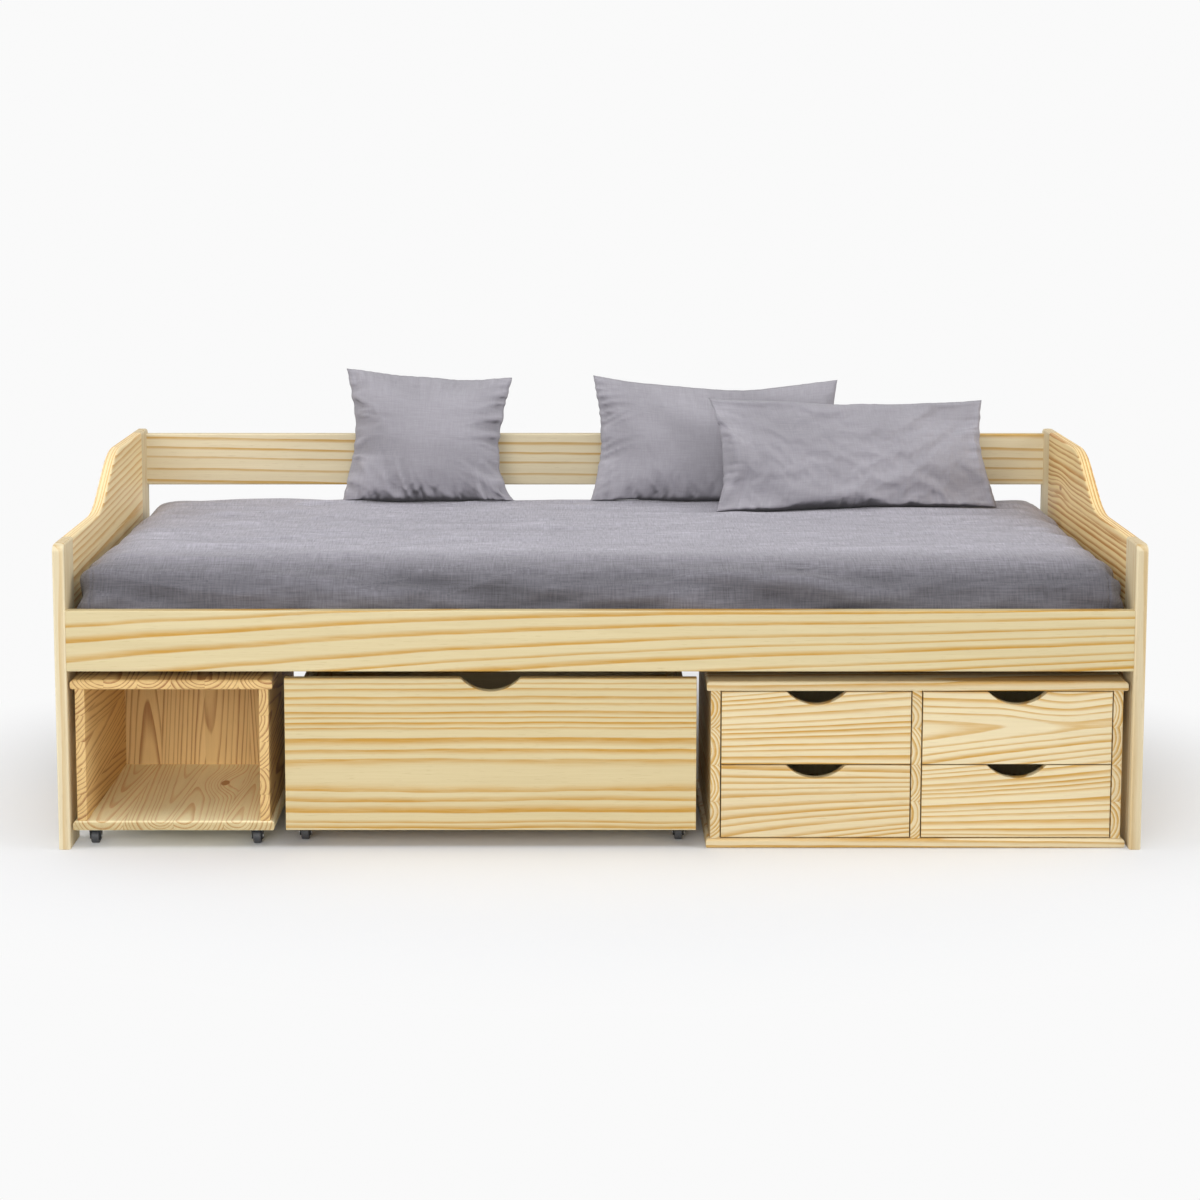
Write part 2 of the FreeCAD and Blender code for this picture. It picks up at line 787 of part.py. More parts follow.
def cushion_ring(half_width, half_height, share, pull, level):
    wide = half_width * share
    tall = half_height * share
    corners = [(-wide, -tall), (wide, -tall), (wide, tall), (-wide, tall)]
    middles = [(0, -tall + pull), (wide - pull, 0), (0, tall - pull), (-wide + pull, 0)]
    points = [Vector(x, level, z) for x, z in corners]
    bows = [Vector(x, level, z) for x, z in middles]
    arcs = [Part.Arc(points[side], bows[side], points[(side + 1) % 4]) for side in range(4)]
    return Part.Wire([arc.toShape() for arc in arcs])


def cushion_half(width, height, thick, facing):
    # From the seam to the crown the outline shrinks and its sides turn from hollow to full.
    flattest = d.crown_share.value
    count = int(d.crown_rings.value)
    rings = []
    for index in range(count):
        angle = math.pi / 2 * index / (count - 1)
        level = math.sin(angle)
        share = flattest + (1 - flattest) * math.cos(angle)
        pull = d.side_pull.value * (1 - 2 * level) * share
        rings.append(cushion_ring(width / 2, height / 2, share, pull, facing * level * thick / 2))
    return Part.makeLoft(rings, True)


def lowest(shape):
    return min(point.z for point in shape.tessellate(FINENESS)[0])


def leaning(label, width, height, thick, lean, turn, place, behind):
    # Stands on the mattress and leans back until it meets what is behind it.
    body = cushion_half(width, height, thick, -1).fuse(cushion_half(width, height, thick, 1))
    tilt = Rotation(Vector(0, 0, 1), turn).multiply(Rotation(Vector(1, 0, 0), -lean))
    gap = d.soft_gap.value
    body.Placement = Placement(Vector(place, front.value, 0), tilt)
    body.translate(Vector(0, 0, mattress_top.value + gap - lowest(body)))
    for attempt in range(SETTLING):
        distance = min(body.distToShape(other)[0] for other in behind)
        body.translate(Vector(0, distance - gap, 0))
    piece = doc.addObject("Part::Feature", label)
    piece.Shape = body
    return node(piece)


doc.recompute()
backrest = doc.getObject("backrest_rail").Shape
cushion_left = -end_inner + d.cushion_end_gap
cushion_place = cushion_left + d.cushion_width / 2
pillow_place = cushion_left + d.cushion_width + d.pillow_gap + d.pillow_width / 2
front_pillow_place = end_inner - d.front_pillow_end_gap - d.front_pillow_width / 2
leaning("square_cushion", d.cushion_width.value, d.cushion_height.value, d.cushion_thick.value,
        d.cushion_lean.value, 0, cushion_place.value, [backrest])
rear_pillow = leaning("rear_pillow", d.pillow_width.value, d.pillow_height.value, d.pillow_thick.value,
                      d.pillow_lean.value, 0, pillow_place.value, [backrest])
leaning("front_pillow", d.front_pillow_width.value, d.front_pillow_height.value,
        d.front_pillow_thick.value, d.front_pillow_lean.value, d.front_pillow_turn.value,
        front_pillow_place.value, [backrest, rear_pillow.Shape])


# Boxes of the storage units: top, bottom, walls and back, doweled together

lip = front + d.unit_setback
wall_front = lip + d.unit_lip
unit_rear = lip + d.unit_depth
wall_rear = unit_rear - d.back_thick
wall_dowel_rows = spread(wall_front + d.dowel_margin, wall_rear - d.dowel_margin, dowel_count)


def lipped_board(label, x, z):
    blank = box(f"{label}_blank", x, (lip, unit_rear), z)

    def radius_of(edge):
        middle = middle_of(edge)
        level = edge.BoundBox.ZLength < TOUCH
        at_side = near(middle.x, x[0]) or near(middle.x, x[1])
        if not level or not (at_side or near(middle.y, lip)):
            return 0
        return d.lip_round_over.value if near(middle.z, z[1]) else d.lip_round_under.value

    return eased(f"{label}_eased", blank, radius_of)


def wall(label, left, z):
    blank = box(f"{label}_blank", (left, left + d.board_thick), (wall_front, wall_rear), z)

    def radius_of(edge):
        upright = edge.BoundBox.ZLength > TOUCH
        return d.wall_round.value if upright and near(middle_of(edge).y, wall_front) else 0

    return eased(f"{label}_eased", blank, radius_of)


def carcass(name, bottom_label, left, floor, width, top, walls):
    # walls gives the left face of each upright board, by name
    right = left + width
    low = floor + d.board_thick
    high = top - d.board_thick
    low_dowels = []
    high_dowels = []
    back_screws = []
    for label, wall_left in walls.items():
        middle = wall_left + d.board_thick / 2
        below = [spot("+z", middle, y, low - d.dowel_sink) for y in wall_dowel_rows]
        above = [spot("-z", middle, y, high + d.dowel_sink) for y in wall_dowel_rows]
        behind = [spot("-y", middle, unit_rear, z)
                  for z in (low + d.dowel_margin, high - d.dowel_margin)]
        upright = drilled(f"{label}_doweled", wall(label, wall_left, (low, high)),
                          dowel_hole, below + above)
        node(drilled(label, upright, back_screw_hole, behind))
        low_dowels.extend(below)
        high_dowels.extend(above)
        back_screws.extend(behind)
    top_board = lipped_board(f"{name}_top", (left, right), (high, top))
    node(drilled(f"{name}_top", top_board, dowel_hole, high_dowels))
    across = (left + d.unit_overhang, right - d.unit_overhang)
    back_board = box(f"{name}_back_blank", across, (wall_rear, unit_rear), (low, high))
    node(drilled(f"{name}_back", back_board, back_screw_hole, back_screws))
    node(copies(f"{name}_dowels", dowel, low_dowels + high_dowels))
    bottom_board = lipped_board(bottom_label, (left, right), (floor, low))
    bottom = drilled(bottom_label, bottom_board, dowel_hole, low_dowels)
    return bottom, back_screws


# Castors under a unit: fixed forks, axle pins, plate screws and wheels

def casters(name, bottom_name, bottom, sides, ends, screw_sets):
    under = caster_height
    places = [(x, y) for y in ends for x in sides]
    fork_spots = [spot("+z", x, y, under) for x, y in places]
    node(copies(f"{name}_casters", fork, fork_spots))
    screw_spots = [
        spot("+z", x, y + plate_screw_reach * side, under - d.plate_thick)
        for x, y in places for side in (-1, 1)
    ]
    node(drilled(bottom_name, bottom, plate_screw_hole, screw_spots))
    axle_spots = [spot("+x", x - fork_width / 2, y, wheel_radius) for x, y in places]
    node(together(f"{name}_hardware", [
        copies(f"{name}_axles", axle_pin, axle_spots),
        copies(f"{name}_plate_screws", plate_screw, screw_spots),
        *screw_sets,
    ]))
    corners = ("front_left", "front_right", "rear_left", "rear_right")
    for corner, (x, y) in zip(corners, places):
        roller = doc.addObject("Part::Feature", f"{name}_wheel_{corner}")
        roller.Shape = wheel.Shape.copy()
        roller.Placement = spot("+z", x, y, wheel_radius)
        node(roller)


# Open box on castors

cube_right = cube_left + d.cube_width
cube_wall = cube_left + d.unit_overhang
cube_far_wall = cube_right - d.unit_overhang - d.board_thick
cube_caster_side = d.cube_plate_side + plate_half_width
cube_caster_end = d.cube_plate_end + plate_half_length
cube_walls = {
    "cube_left_side": cube_wall,
    "cube_right_side": cube_far_wall,
}
cube_bottom, cube_back_screws = carcass("cube", "cube_bottom_doweled", cube_left, caster_height,
                                        d.cube_width, cube_top, cube_walls)
casters(
    "cube",
    "cube_bottom",
    cube_bottom,
    (cube_left + cube_caster_side, cube_right - cube_caster_side),
    (lip + cube_caster_end, unit_rear - cube_caster_end),
    [copies("cube_back_screws", back_screw, cube_back_screws)],
)


# Fronts with a finger scoop in the top edge

def scooped_front(label, left, face, low, width, height):
    # face is where the outer side stands; the board's thickness lies behind it
    body = doc.addObject("PartDesign::Body", label)
    sketch = sketch_on(body, "XZ_Plane", "face")
    outline(sketch, [(0, 0), (width, 0), (width, height), (0, height)])
    swept(body, "Pad", sketch, d.board_thick)
    half_chord = d.scoop_width / 2
    radius = (half_chord * half_chord + d.scoop_depth * d.scoop_depth) / (d.scoop_depth * 2)
    scoop = sketch_on(body, "XZ_Plane", "scoop")
    circle(scoop, (width / 2, height + radius - d.scoop_depth), radius)
    swept(body, "Pocket", scoop, d.board_thick * 3, "Symmetric")
    rounded(body, "shoulders", d.scoop_shoulder, lambda edge: edge.BoundBox.YLength > TOUCH
            and near(middle_of(edge).z, height)
            and TOUCH < middle_of(edge).x < width.value - TOUCH)
    rounded(body, "edges", d.front_round, lambda edge: near(edge.BoundBox.YMax, -d.board_thick))
    put(body, (left, face + d.board_thick, low))
    return body


# Wide drawer on castors

drawer_left = cube_right + d.drawer_gap_left
drawer_right = chest_left - d.drawer_gap_right
drawer_width = drawer_right - drawer_left
drawer_top = d.rail_bottom - d.drawer_headroom
drawer_face = front + d.drawer_setback
box_front = drawer_face + d.board_thick
box_rear = drawer_face + d.drawer_depth
box_left = drawer_left + d.drawer_side_inset
box_right = drawer_right - d.drawer_side_inset
box_floor = caster_height + d.drawer_bottom_thick
box_top = drawer_top - d.drawer_side_drop
box_back_face = box_rear - d.drawer_side_thick
front_dowel_rows = spread(box_floor + d.dowel_margin, box_top - d.dowel_margin, dowel_count)
back_dowel_rows = (box_floor + d.dowel_margin, box_top - d.dowel_margin)
drawer_screw_count = int(d.drawer_screws_in_row.value)
drawer_screw_rows = spread(box_front + d.drawer_screw_margin, box_rear - d.drawer_screw_margin,
                           drawer_screw_count)
drawer_caster_side = d.drawer_plate_side + plate_half_width
drawer_caster_end = d.drawer_plate_end + plate_half_length
drawer_sides = {
    "drawer_left_side": (box_left, box_left + d.drawer_side_thick, "+x"),
    "drawer_right_side": (box_right - d.drawer_side_thick, box_right, "-x"),
}

drawer_front_dowels = []
drawer_back_dowels = []
drawer_screws = []
for label, (low_x, high_x, towards) in drawer_sides.items():
    middle = (low_x + high_x) / 2
    inner = high_x - d.dowel_sink if towards == "+x" else low_x + d.dowel_sink
    front_dowels = [spot("+y", middle, box_front - d.dowel_sink, z) for z in front_dowel_rows]
    back_line = box_back_face + d.drawer_side_thick / 2
    back_dowels = [spot(towards, inner, back_line, z) for z in back_dowel_rows]
    screws = [spot("+z", middle, y, caster_height) for y in drawer_screw_rows]
    side_blank = box(f"{label}_blank", (low_x, high_x), (box_front, box_rear), (box_floor, box_top))
    doweled = drilled(f"{label}_doweled", side_blank, dowel_hole, front_dowels + back_dowels)
    node(drilled(label, doweled, drawer_screw_hole, screws))
    drawer_front_dowels.extend(front_dowels)
    drawer_back_dowels.extend(back_dowels)
    drawer_screws.extend(screws)

drawer_face_board = scooped_front("drawer_front_blank", drawer_left, drawer_face, caster_height,
                                  drawer_width, drawer_top - caster_height)
node(drilled("drawer_front", drawer_face_board, dowel_hole, drawer_front_dowels))
drawer_inner = (box_left + d.drawer_side_thick, box_right - d.drawer_side_thick)
drawer_back_blank = box("drawer_back_blank", drawer_inner, (box_back_face, box_rear), (box_floor, box_top))
node(drilled("drawer_back", drawer_back_blank, dowel_hole, drawer_back_dowels))
node(copies("drawer_dowels", dowel, drawer_front_dowels + drawer_back_dowels))
drawer_floor = box("drawer_bottom_blank", (box_left, box_right), (box_front, box_rear),
                   (caster_height, box_floor))
casters(
    "drawer",
    "drawer_bottom",
    drilled("drawer_bottom_drilled", drawer_floor, drawer_screw_hole, drawer_screws),
    (box_left + drawer_caster_side, box_right - drawer_caster_side),
    (box_front + drawer_caster_end, box_rear - drawer_caster_end),
    [copies("drawer_bottom_screws", drawer_screw, drawer_screws)],
)


# Chest on the floor, with two bays of two small drawers

chest_right = chest_left + d.chest_width
chest_wall = chest_left + d.unit_overhang
chest_far_wall = chest_right - d.unit_overhang - d.board_thick
chest_divider = chest_left + d.chest_width / 2 - d.board_thick / 2
chest_walls = {
    "chest_left_side": chest_wall,
    "chest_divider": chest_divider,
    "chest_right_side": chest_far_wall,
}
chest_bottom, chest_back_screws = carcass("chest", "chest_bottom", chest_left, as_size(0),
                                          d.chest_width, chest_top, chest_walls)
node(chest_bottom)
node(copies("chest_screws", back_screw, chest_back_screws))

bays = {
    "left": (chest_wall + d.board_thick, chest_divider),
    "right": (chest_divider + d.board_thick, chest_far_wall),
}
bay_floor = d.board_thick
bay_top = chest_top - d.board_thick
tray_front_height = (bay_top - bay_floor - d.front_play * 3) / 2
levels = {
    "lower": bay_floor + d.front_play,
    "upper": bay_floor + d.front_play * 2 + tray_front_height,
}
tray_front_back = wall_front + d.board_thick
tray_rear = wall_rear - d.tray_back_gap
tray_side_height = tray_front_height - d.tray_lift - d.tray_side_drop
runner_lift = (tray_side_height - d.runner_height) / 2
runner_length = (tray_front_back + d.runner_front_gap, wall_rear)
runners = []


def tray_side(label, x, low, groove_x, slot_x):
    tall = (low, low + tray_side_height)
    blank = box(f"{label}_blank", x, (tray_front_back, tray_rear), tall)
    groove_low = low + runner_lift - d.runner_play
    groove_high = low + runner_lift + d.runner_height + d.runner_play
    groove = box(f"{label}_groove", groove_x, (tray_front_back, tray_rear), (groove_low, groove_high))
    slot_low = low + d.tray_bottom_lift - d.fit_play
    slot_high = slot_low + d.tray_bottom_thick + d.fit_play * 2
    slot = box(f"{label}_slot", slot_x, (tray_front_back, tray_rear), (slot_low, slot_high))
    return cut(label, cut(f"{label}_grooved", blank, groove), slot)


def tray(name, bay, front_low):
    left, right = bay
    width = right - left - d.front_play * 2
    node(scooped_front(f"{name}_front", left + d.front_play, wall_front, front_low,
                       width, tray_front_height))
    low = front_low + d.tray_lift
    depth_of_groove = d.runner_width - d.tray_side_gap + d.runner_play
    slot_sink = d.tray_bottom_sink + d.fit_play
    outer_left = left + d.tray_side_gap
    inner_left = outer_left + d.tray_side_thick
    outer_right = right - d.tray_side_gap
    inner_right = outer_right - d.tray_side_thick
    left_side = tray_side(f"{name}_left", (outer_left, inner_left), low,
                          (outer_left, outer_left + depth_of_groove), (inner_left - slot_sink, inner_left))
    right_side = tray_side(f"{name}_right", (inner_right, outer_right), low,
                           (outer_right - depth_of_groove, outer_right),
                           (inner_right, inner_right + slot_sink))
    floor_low = low + d.tray_bottom_lift
    floor_high = floor_low + d.tray_bottom_thick
    floor = box(f"{name}_floor", (inner_left - d.tray_bottom_sink, inner_right + d.tray_bottom_sink),
                (tray_front_back, tray_rear), (floor_low, floor_high))
    tail = box(f"{name}_tail", (inner_left, inner_right), (tray_rear - d.tray_side_thick, tray_rear),
               (floor_high, low + tray_side_height))
    node(together(f"{name}_box", [left_side, right_side, tail, floor]))
    runner_low = low + runner_lift
    runner_tall = (runner_low, runner_low + d.runner_height)
    runners.append(box(f"{name}_runner_left", (left, left + d.runner_width), runner_length, runner_tall))
    runners.append(box(f"{name}_runner_right", (right - d.runner_width, right), runner_length, runner_tall))


for level, front_low in levels.items():
    for bay_name, bay in bays.items():
        tray(f"{level}_{bay_name}", bay, front_low)
node(together("chest_runners", runners))


# Check every object, then write each piece

doc.recompute()
faulty = [item.Label for item in doc.Objects if "Invalid" in item.State or "Error" in item.State]
faulty += [piece.Label for piece in nodes if piece.Shape.isNull() or not piece.Shape.isValid()]
if faulty:
    raise RuntimeError(f"these objects failed: {sorted(set(faulty))}")
os.makedirs("parts", exist_ok=True)
for piece in nodes:
    piece.Shape.exportStep(f"parts/{piece.Label}.step")
print(f"wrote {len(nodes)} pieces")
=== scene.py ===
import bmesh
import bpy
import math
from mathutils import Matrix, Vector, noise
from mathutils.bvhtree import BVHTree


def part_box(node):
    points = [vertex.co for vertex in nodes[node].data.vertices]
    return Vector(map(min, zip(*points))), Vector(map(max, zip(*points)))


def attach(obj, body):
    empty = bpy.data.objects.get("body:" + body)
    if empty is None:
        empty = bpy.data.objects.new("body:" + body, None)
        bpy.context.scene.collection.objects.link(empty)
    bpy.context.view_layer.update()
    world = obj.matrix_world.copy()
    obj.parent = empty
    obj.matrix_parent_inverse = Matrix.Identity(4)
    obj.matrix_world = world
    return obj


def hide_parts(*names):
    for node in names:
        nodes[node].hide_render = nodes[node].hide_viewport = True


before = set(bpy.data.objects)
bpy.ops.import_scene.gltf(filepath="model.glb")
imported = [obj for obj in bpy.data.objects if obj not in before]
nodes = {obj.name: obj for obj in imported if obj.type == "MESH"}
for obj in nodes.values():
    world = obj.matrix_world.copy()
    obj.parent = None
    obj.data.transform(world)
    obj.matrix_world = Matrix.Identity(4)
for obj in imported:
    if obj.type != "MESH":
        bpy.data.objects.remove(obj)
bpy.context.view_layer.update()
scene = bpy.context.scene
scene.view_settings.view_transform = "Standard"
print("frame loaded with", len(nodes), "nodes")


# Small helpers for shader trees

def addNode(tree, kind, inputs=None, **settings):
    made = tree.nodes.new(kind)
    for name, value in settings.items():
        setattr(made, name, value)
    for name, value in (inputs or {}).items():
        feed(tree, made.inputs[name], value)
    return made


def feed(tree, socket, value):
    if isinstance(value, bpy.types.NodeSocket):
        tree.links.new(value, socket)
    else:
        socket.default_value = value


def calc(tree, operation, *values):
    made = addNode(tree, "ShaderNodeMath", operation=operation)
    for socket, value in zip(made.inputs, values):
        feed(tree, socket, value)
    return made.outputs[0]


def ramp(tree, value, low, high, start=0.0, end=1.0):
    made = addNode(tree, "ShaderNodeMapRange", interpolation_type="SMOOTHSTEP", inputs={
        "Value": value, "From Min": low, "From Max": high, "To Min": start, "To Max": end,
    })
    return made.outputs[0]


def blendColour(tree, share, one, other, mode="MIX"):
    made = addNode(tree, "ShaderNodeMix", data_type="RGBA", blend_type=mode)
    colours = [socket for socket in made.inputs if socket.type == "RGBA"]
    feed(tree, made.inputs[0], share)
    feed(tree, colours[0], one)
    feed(tree, colours[1], other)
    return next(socket for socket in made.outputs if socket.type == "RGBA")


def stretched(tree, vector, along, across):
    made = addNode(tree, "ShaderNodeMapping", inputs={"Vector": vector, "Scale": (along, across, across)})
    return made.outputs[0]


def cloud(tree, vector, w, detail=0.0, roughness=0.5):
    made = addNode(tree, "ShaderNodeTexNoise", noise_dimensions="4D", inputs={
        "Vector": vector, "W": w, "Scale": 1.0, "Detail": detail, "Roughness": roughness,
    })
    return made.outputs[0]


def newGroup(name, inputs, outputs):
    tree = bpy.data.node_groups.new(name, "ShaderNodeTree")
    for label, kind, value in inputs:
        socket = tree.interface.new_socket(label, in_out="INPUT", socket_type=f"NodeSocket{kind}")
        if value is not None:
            socket.default_value = value
    for label, kind in outputs:
        tree.interface.new_socket(label, in_out="OUTPUT", socket_type=f"NodeSocket{kind}")
    source = tree.nodes.new("NodeGroupInput").outputs
    target = tree.nodes.new("NodeGroupOutput").inputs
    return tree, source, target


def newMaterial(name):
    made = bpy.data.materials.new(name)
    made.use_nodes = True
    tree = made.node_tree
    return made, tree, tree.nodes["Principled BSDF"]


def linear(red, green, blue):
    # screen colours of 0 to 255 as the shader's linear ones
    parts = [part / 255 for part in (red, green, blue)]
    return (*[p / 12.92 if p < 0.04045 else ((p + 0.055) / 1.055) ** 2.4 for p in parts], 1.0)


# Pine: growth rings round a pith behind each stave, cut by the board's faces

pineHabit = {
    "ripple": 0.006,
    "unevenYears": 1.1,
    "knotLong": 0.45,  # a knot's reach along the grain is longer by one over this
    "knotReach": 0.06,
    "knotRim": 0.003,
    "knotBrown": (0.54, 0.30, 0.13, 1.0),
    "streakTint": 0.2,
    "fibreTint": 0.16,
    "staveTint": 0.1,
    "ductTint": -0.09,
    "glueTint": 0.1,
    "roughness": 0.5,
    "bump": 0.12,
    "bumpDistance": 0.0006,
    "specular": 0.35,
}


def makePineGroup(habit):
    tree, source, target = newGroup("pineGrain", [
        ("Vector", "Vector", None),
        ("End", "Float", 0.0),
        ("Edge", "Float", 0.0),
        ("Early", "Color", None),
        ("Late", "Color", None),
        ("Stave", "Float", 0.1),
        ("Ring", "Float", 0.01),
        ("Line", "Float", 0.004),
        ("Face Lines", "Float", 1.0),
        ("End Lines", "Float", 0.8),
        ("Pith", "Float", 0.5),
        ("Pith Depth", "Float", 0.1),
        ("Pith Spread", "Float", 0.5),
        ("Tilt", "Float", 0.0),
        ("Fan", "Float", 0.0),
        ("Taper", "Float", 0.0),
        ("Wander", "Float", 0.02),
        ("Knot Place", "Vector", None),
        ("Knot Push", "Float", 0.0),
        ("Knot Core", "Float", 0.0),
        ("End Tint", "Float", -0.12),
        ("Seed", "Float", 0.0),
    ], [("Color", "Color"), ("Roughness", "Float"), ("Height", "Float")])
    vector = source["Vector"]
    seed = source["Seed"]
    split = addNode(tree, "ShaderNodeSeparateXYZ", {"Vector": vector})
    along, across, through = split.outputs

    # each stave has its own tree
    shareAcross = calc(tree, "DIVIDE", across, source["Stave"])
    stave = calc(tree, "FLOOR", shareAcross)
    staveKey = calc(tree, "MULTIPLY_ADD", stave, 7.31, seed)
    chance = addNode(tree, "ShaderNodeTexWhiteNoise", {"W": staveKey}, noise_dimensions="1D")
    luck = addNode(tree, "ShaderNodeSeparateColor", {"Color": chance.outputs["Color"]})
    luckA, luckB, luckC = luck.outputs
    aside = calc(tree, "SUBTRACT", luckA, 0.5)
    aside = calc(tree, "MULTIPLY", aside, source["Pith Spread"])
    pithShare = calc(tree, "ADD", calc(tree, "ADD", stave, source["Pith"]), aside)
    pithAcross = calc(tree, "MULTIPLY", pithShare, source["Stave"])
    deeper = calc(tree, "MULTIPLY_ADD", luckB, 0.6, 0.7)
    pithDepth = calc(tree, "MULTIPLY", source["Pith Depth"], deeper)
    way = calc(tree, "SIGN", calc(tree, "SUBTRACT", luckC, 0.5))

    # the trunk wanders slowly along its length, and the rings ripple
    bend = cloud(tree, stretched(tree, vector, 0.9, 4.0), staveKey)
    bend = calc(tree, "SUBTRACT", bend, 0.5)
    bend = calc(tree, "MULTIPLY", bend, source["Wander"])
    sway = cloud(tree, stretched(tree, vector, 1.1, 1.5), calc(tree, "ADD", staveKey, 31.7))
    sway = calc(tree, "SUBTRACT", sway, 0.5)
    sway = calc(tree, "MULTIPLY", sway, source["Wander"])
    ripple = cloud(tree, stretched(tree, vector, 5.0, 24.0), staveKey, 2.0)
    ripple = calc(tree, "SUBTRACT", ripple, 0.5)
    ripple = calc(tree, "MULTIPLY", ripple, habit["ripple"])

    # a knot pushes the rings aside
    knot = addNode(tree, "ShaderNodeVectorMath", {0: vector, 1: source["Knot Place"]}, operation="SUBTRACT")
    knot = addNode(tree, "ShaderNodeMapping", {
        "Vector": knot.outputs[0], "Scale": (habit["knotLong"], 1.0, 0.0),
    })
    away = addNode(tree, "ShaderNodeVectorMath", {0: knot.outputs[0]}, operation="LENGTH").outputs["Value"]
    push = calc(tree, "MULTIPLY", ramp(tree, away, 0.0, habit["knotReach"], 1.0, 0.0), source["Knot Push"])
    coreEdge = calc(tree, "ADD", source["Knot Core"], habit["knotRim"])
    core = ramp(tree, away, source["Knot Core"], coreEdge, 1.0, 0.0)
    core = calc(tree, "MULTIPLY", core, calc(tree, "GREATER_THAN", source["Knot Core"], 0.0005))

    sideways = calc(tree, "SUBTRACT", across, pithAcross)
    sideways = calc(tree, "ADD", sideways, sway)
    inStave = calc(tree, "FRACT", shareAcross)
    slant = calc(tree, "MULTIPLY_ADD", calc(tree, "SUBTRACT", inStave, 0.5), source["Fan"], source["Tilt"])
    sideways = calc(tree, "SUBTRACT", sideways, calc(tree, "MULTIPLY", along, slant))
    depth = calc(tree, "ADD", through, pithDepth)
    depth = calc(tree, "ADD", depth, bend)
    square = calc(tree, "MULTIPLY", sideways, sideways)
    square = calc(tree, "MULTIPLY_ADD", depth, depth, square)
    reach = calc(tree, "SQRT", square)
    reach = calc(tree, "ADD", reach, ripple)
    taper = calc(tree, "MULTIPLY", calc(tree, "MULTIPLY", source["Taper"], way), along)
    reach = calc(tree, "ADD", reach, taper)
    reach = calc(tree, "ADD", reach, push)
    # on a shaped edge the rings run along it
    follow = calc(tree, "SUBTRACT", calc(tree, "MULTIPLY_ADD", through, 2.0, bend), reach)
    reach = calc(tree, "MULTIPLY_ADD", source["Edge"], follow, reach)

    # yearly growth varies, and so does each line of latewood
    growth = calc(tree, "DIVIDE", reach, source["Ring"])
    years = addNode(tree, "ShaderNodeTexNoise", noise_dimensions="1D", inputs={
        "W": calc(tree, "ADD", calc(tree, "MULTIPLY", growth, 0.35), staveKey), "Scale": 1.0, "Detail": 0.0,
    })
    growth = calc(tree, "MULTIPLY_ADD", years.outputs[0], habit["unevenYears"], growth)
    year = calc(tree, "FLOOR", growth)
    season = calc(tree, "FRACT", growth)
    mood = addNode(tree, "ShaderNodeTexWhiteNoise", {"W": calc(tree, "ADD", year, staveKey)},
                   noise_dimensions="1D").outputs["Value"]
    width = calc(tree, "DIVIDE", source["Line"], source["Ring"])
    width = calc(tree, "MULTIPLY", width, calc(tree, "MULTIPLY_ADD", mood, 1.0, 0.9))
    rise = ramp(tree, season, calc(tree, "SUBTRACT", 0.9, calc(tree, "MULTIPLY", width, 1.35)), 0.88)
    fall = ramp(tree, season, 0.91, 0.995, 1.0, 0.0)
    late = calc(tree, "MULTIPLY", rise, fall)
    # lines fade and return along the board
    fade = cloud(tree, stretched(tree, vector, 4.0, 60.0), calc(tree, "ADD", staveKey, 11.0), 2.0)
    dashes = cloud(tree, stretched(tree, vector, 22.0, 420.0), calc(tree, "ADD", staveKey, 5.0), 1.0)
    strength = calc(tree, "MULTIPLY_ADD", mood, 0.3, calc(tree, "MULTIPLY_ADD", fade, 0.9, -0.1))
    strength = calc(tree, "MULTIPLY_ADD", dashes, 0.7, strength)
    late = addNode(tree, "ShaderNodeMath", {0: late, 1: strength}, operation="MULTIPLY", use_clamp=True)
    lineShare = calc(tree, "SUBTRACT", source["End Lines"], source["Face Lines"])
    lineShare = calc(tree, "MULTIPLY_ADD", lineShare, source["End"], source["Face Lines"])
    late = calc(tree, "MULTIPLY", late.outputs[0], lineShare)

    # fine fibres and short resin ducts run along the grain
    fibre = cloud(tree, stretched(tree, vector, 9.0, 520.0), staveKey, 2.0, 0.6)
    streak = cloud(tree, stretched(tree, vector, 2.5, 70.0), staveKey, 2.0, 0.55)
    duct = ramp(tree, cloud(tree, stretched(tree, vector, 40.0, 700.0), staveKey), 0.69, 0.76)

    colour = blendColour(tree, late, source["Early"], source["Late"])
    tint = calc(tree, "MULTIPLY_ADD", calc(tree, "SUBTRACT", streak, 0.5), habit["streakTint"], 1.0)
    tint = calc(tree, "MULTIPLY_ADD", calc(tree, "SUBTRACT", fibre, 0.5), habit["fibreTint"], tint)
    tint = calc(tree, "MULTIPLY_ADD", calc(tree, "SUBTRACT", luckC, 0.5), habit["staveTint"], tint)
    tint = calc(tree, "MULTIPLY_ADD", duct, habit["ductTint"], tint)
    # the end grain drinks more finish; on the small drawer fronts the deeper end tint is also painted shade
    # for the gaps beside their ends
    tint = calc(tree, "MULTIPLY_ADD", source["End"], source["End Tint"], tint)
    # a hair of glue shows between staves
    edge = calc(tree, "MINIMUM", inStave, calc(tree, "SUBTRACT", 1.0, inStave))
    edge = calc(tree, "MULTIPLY", edge, source["Stave"])
    glue = ramp(tree, edge, 0.0001, 0.0007, habit["glueTint"], 0.0)
    tint = calc(tree, "SUBTRACT", tint, glue)
    shades = addNode(tree, "ShaderNodeCombineColor", {
        "Red": calc(tree, "POWER", tint, 0.8), "Green": tint, "Blue": calc(tree, "POWER", tint, 1.35),
    })
    colour = blendColour(tree, 1.0, colour, shades.outputs[0], "MULTIPLY")
    colour = blendColour(tree, core, colour, habit["knotBrown"])

    feed(tree, target["Color"], colour)
    rough = calc(tree, "MULTIPLY_ADD", late, -0.08, habit["roughness"])
    feed(tree, target["Roughness"], calc(tree, "MULTIPLY_ADD", fibre, 0.1, rough))
    height = calc(tree, "MULTIPLY_ADD", late, 0.5, calc(tree, "MULTIPLY", fibre, 0.35))
    feed(tree, target["Height"], calc(tree, "MULTIPLY_ADD", duct, -0.3, height))
    return tree


pineGroup = makePineGroup(pineHabit)

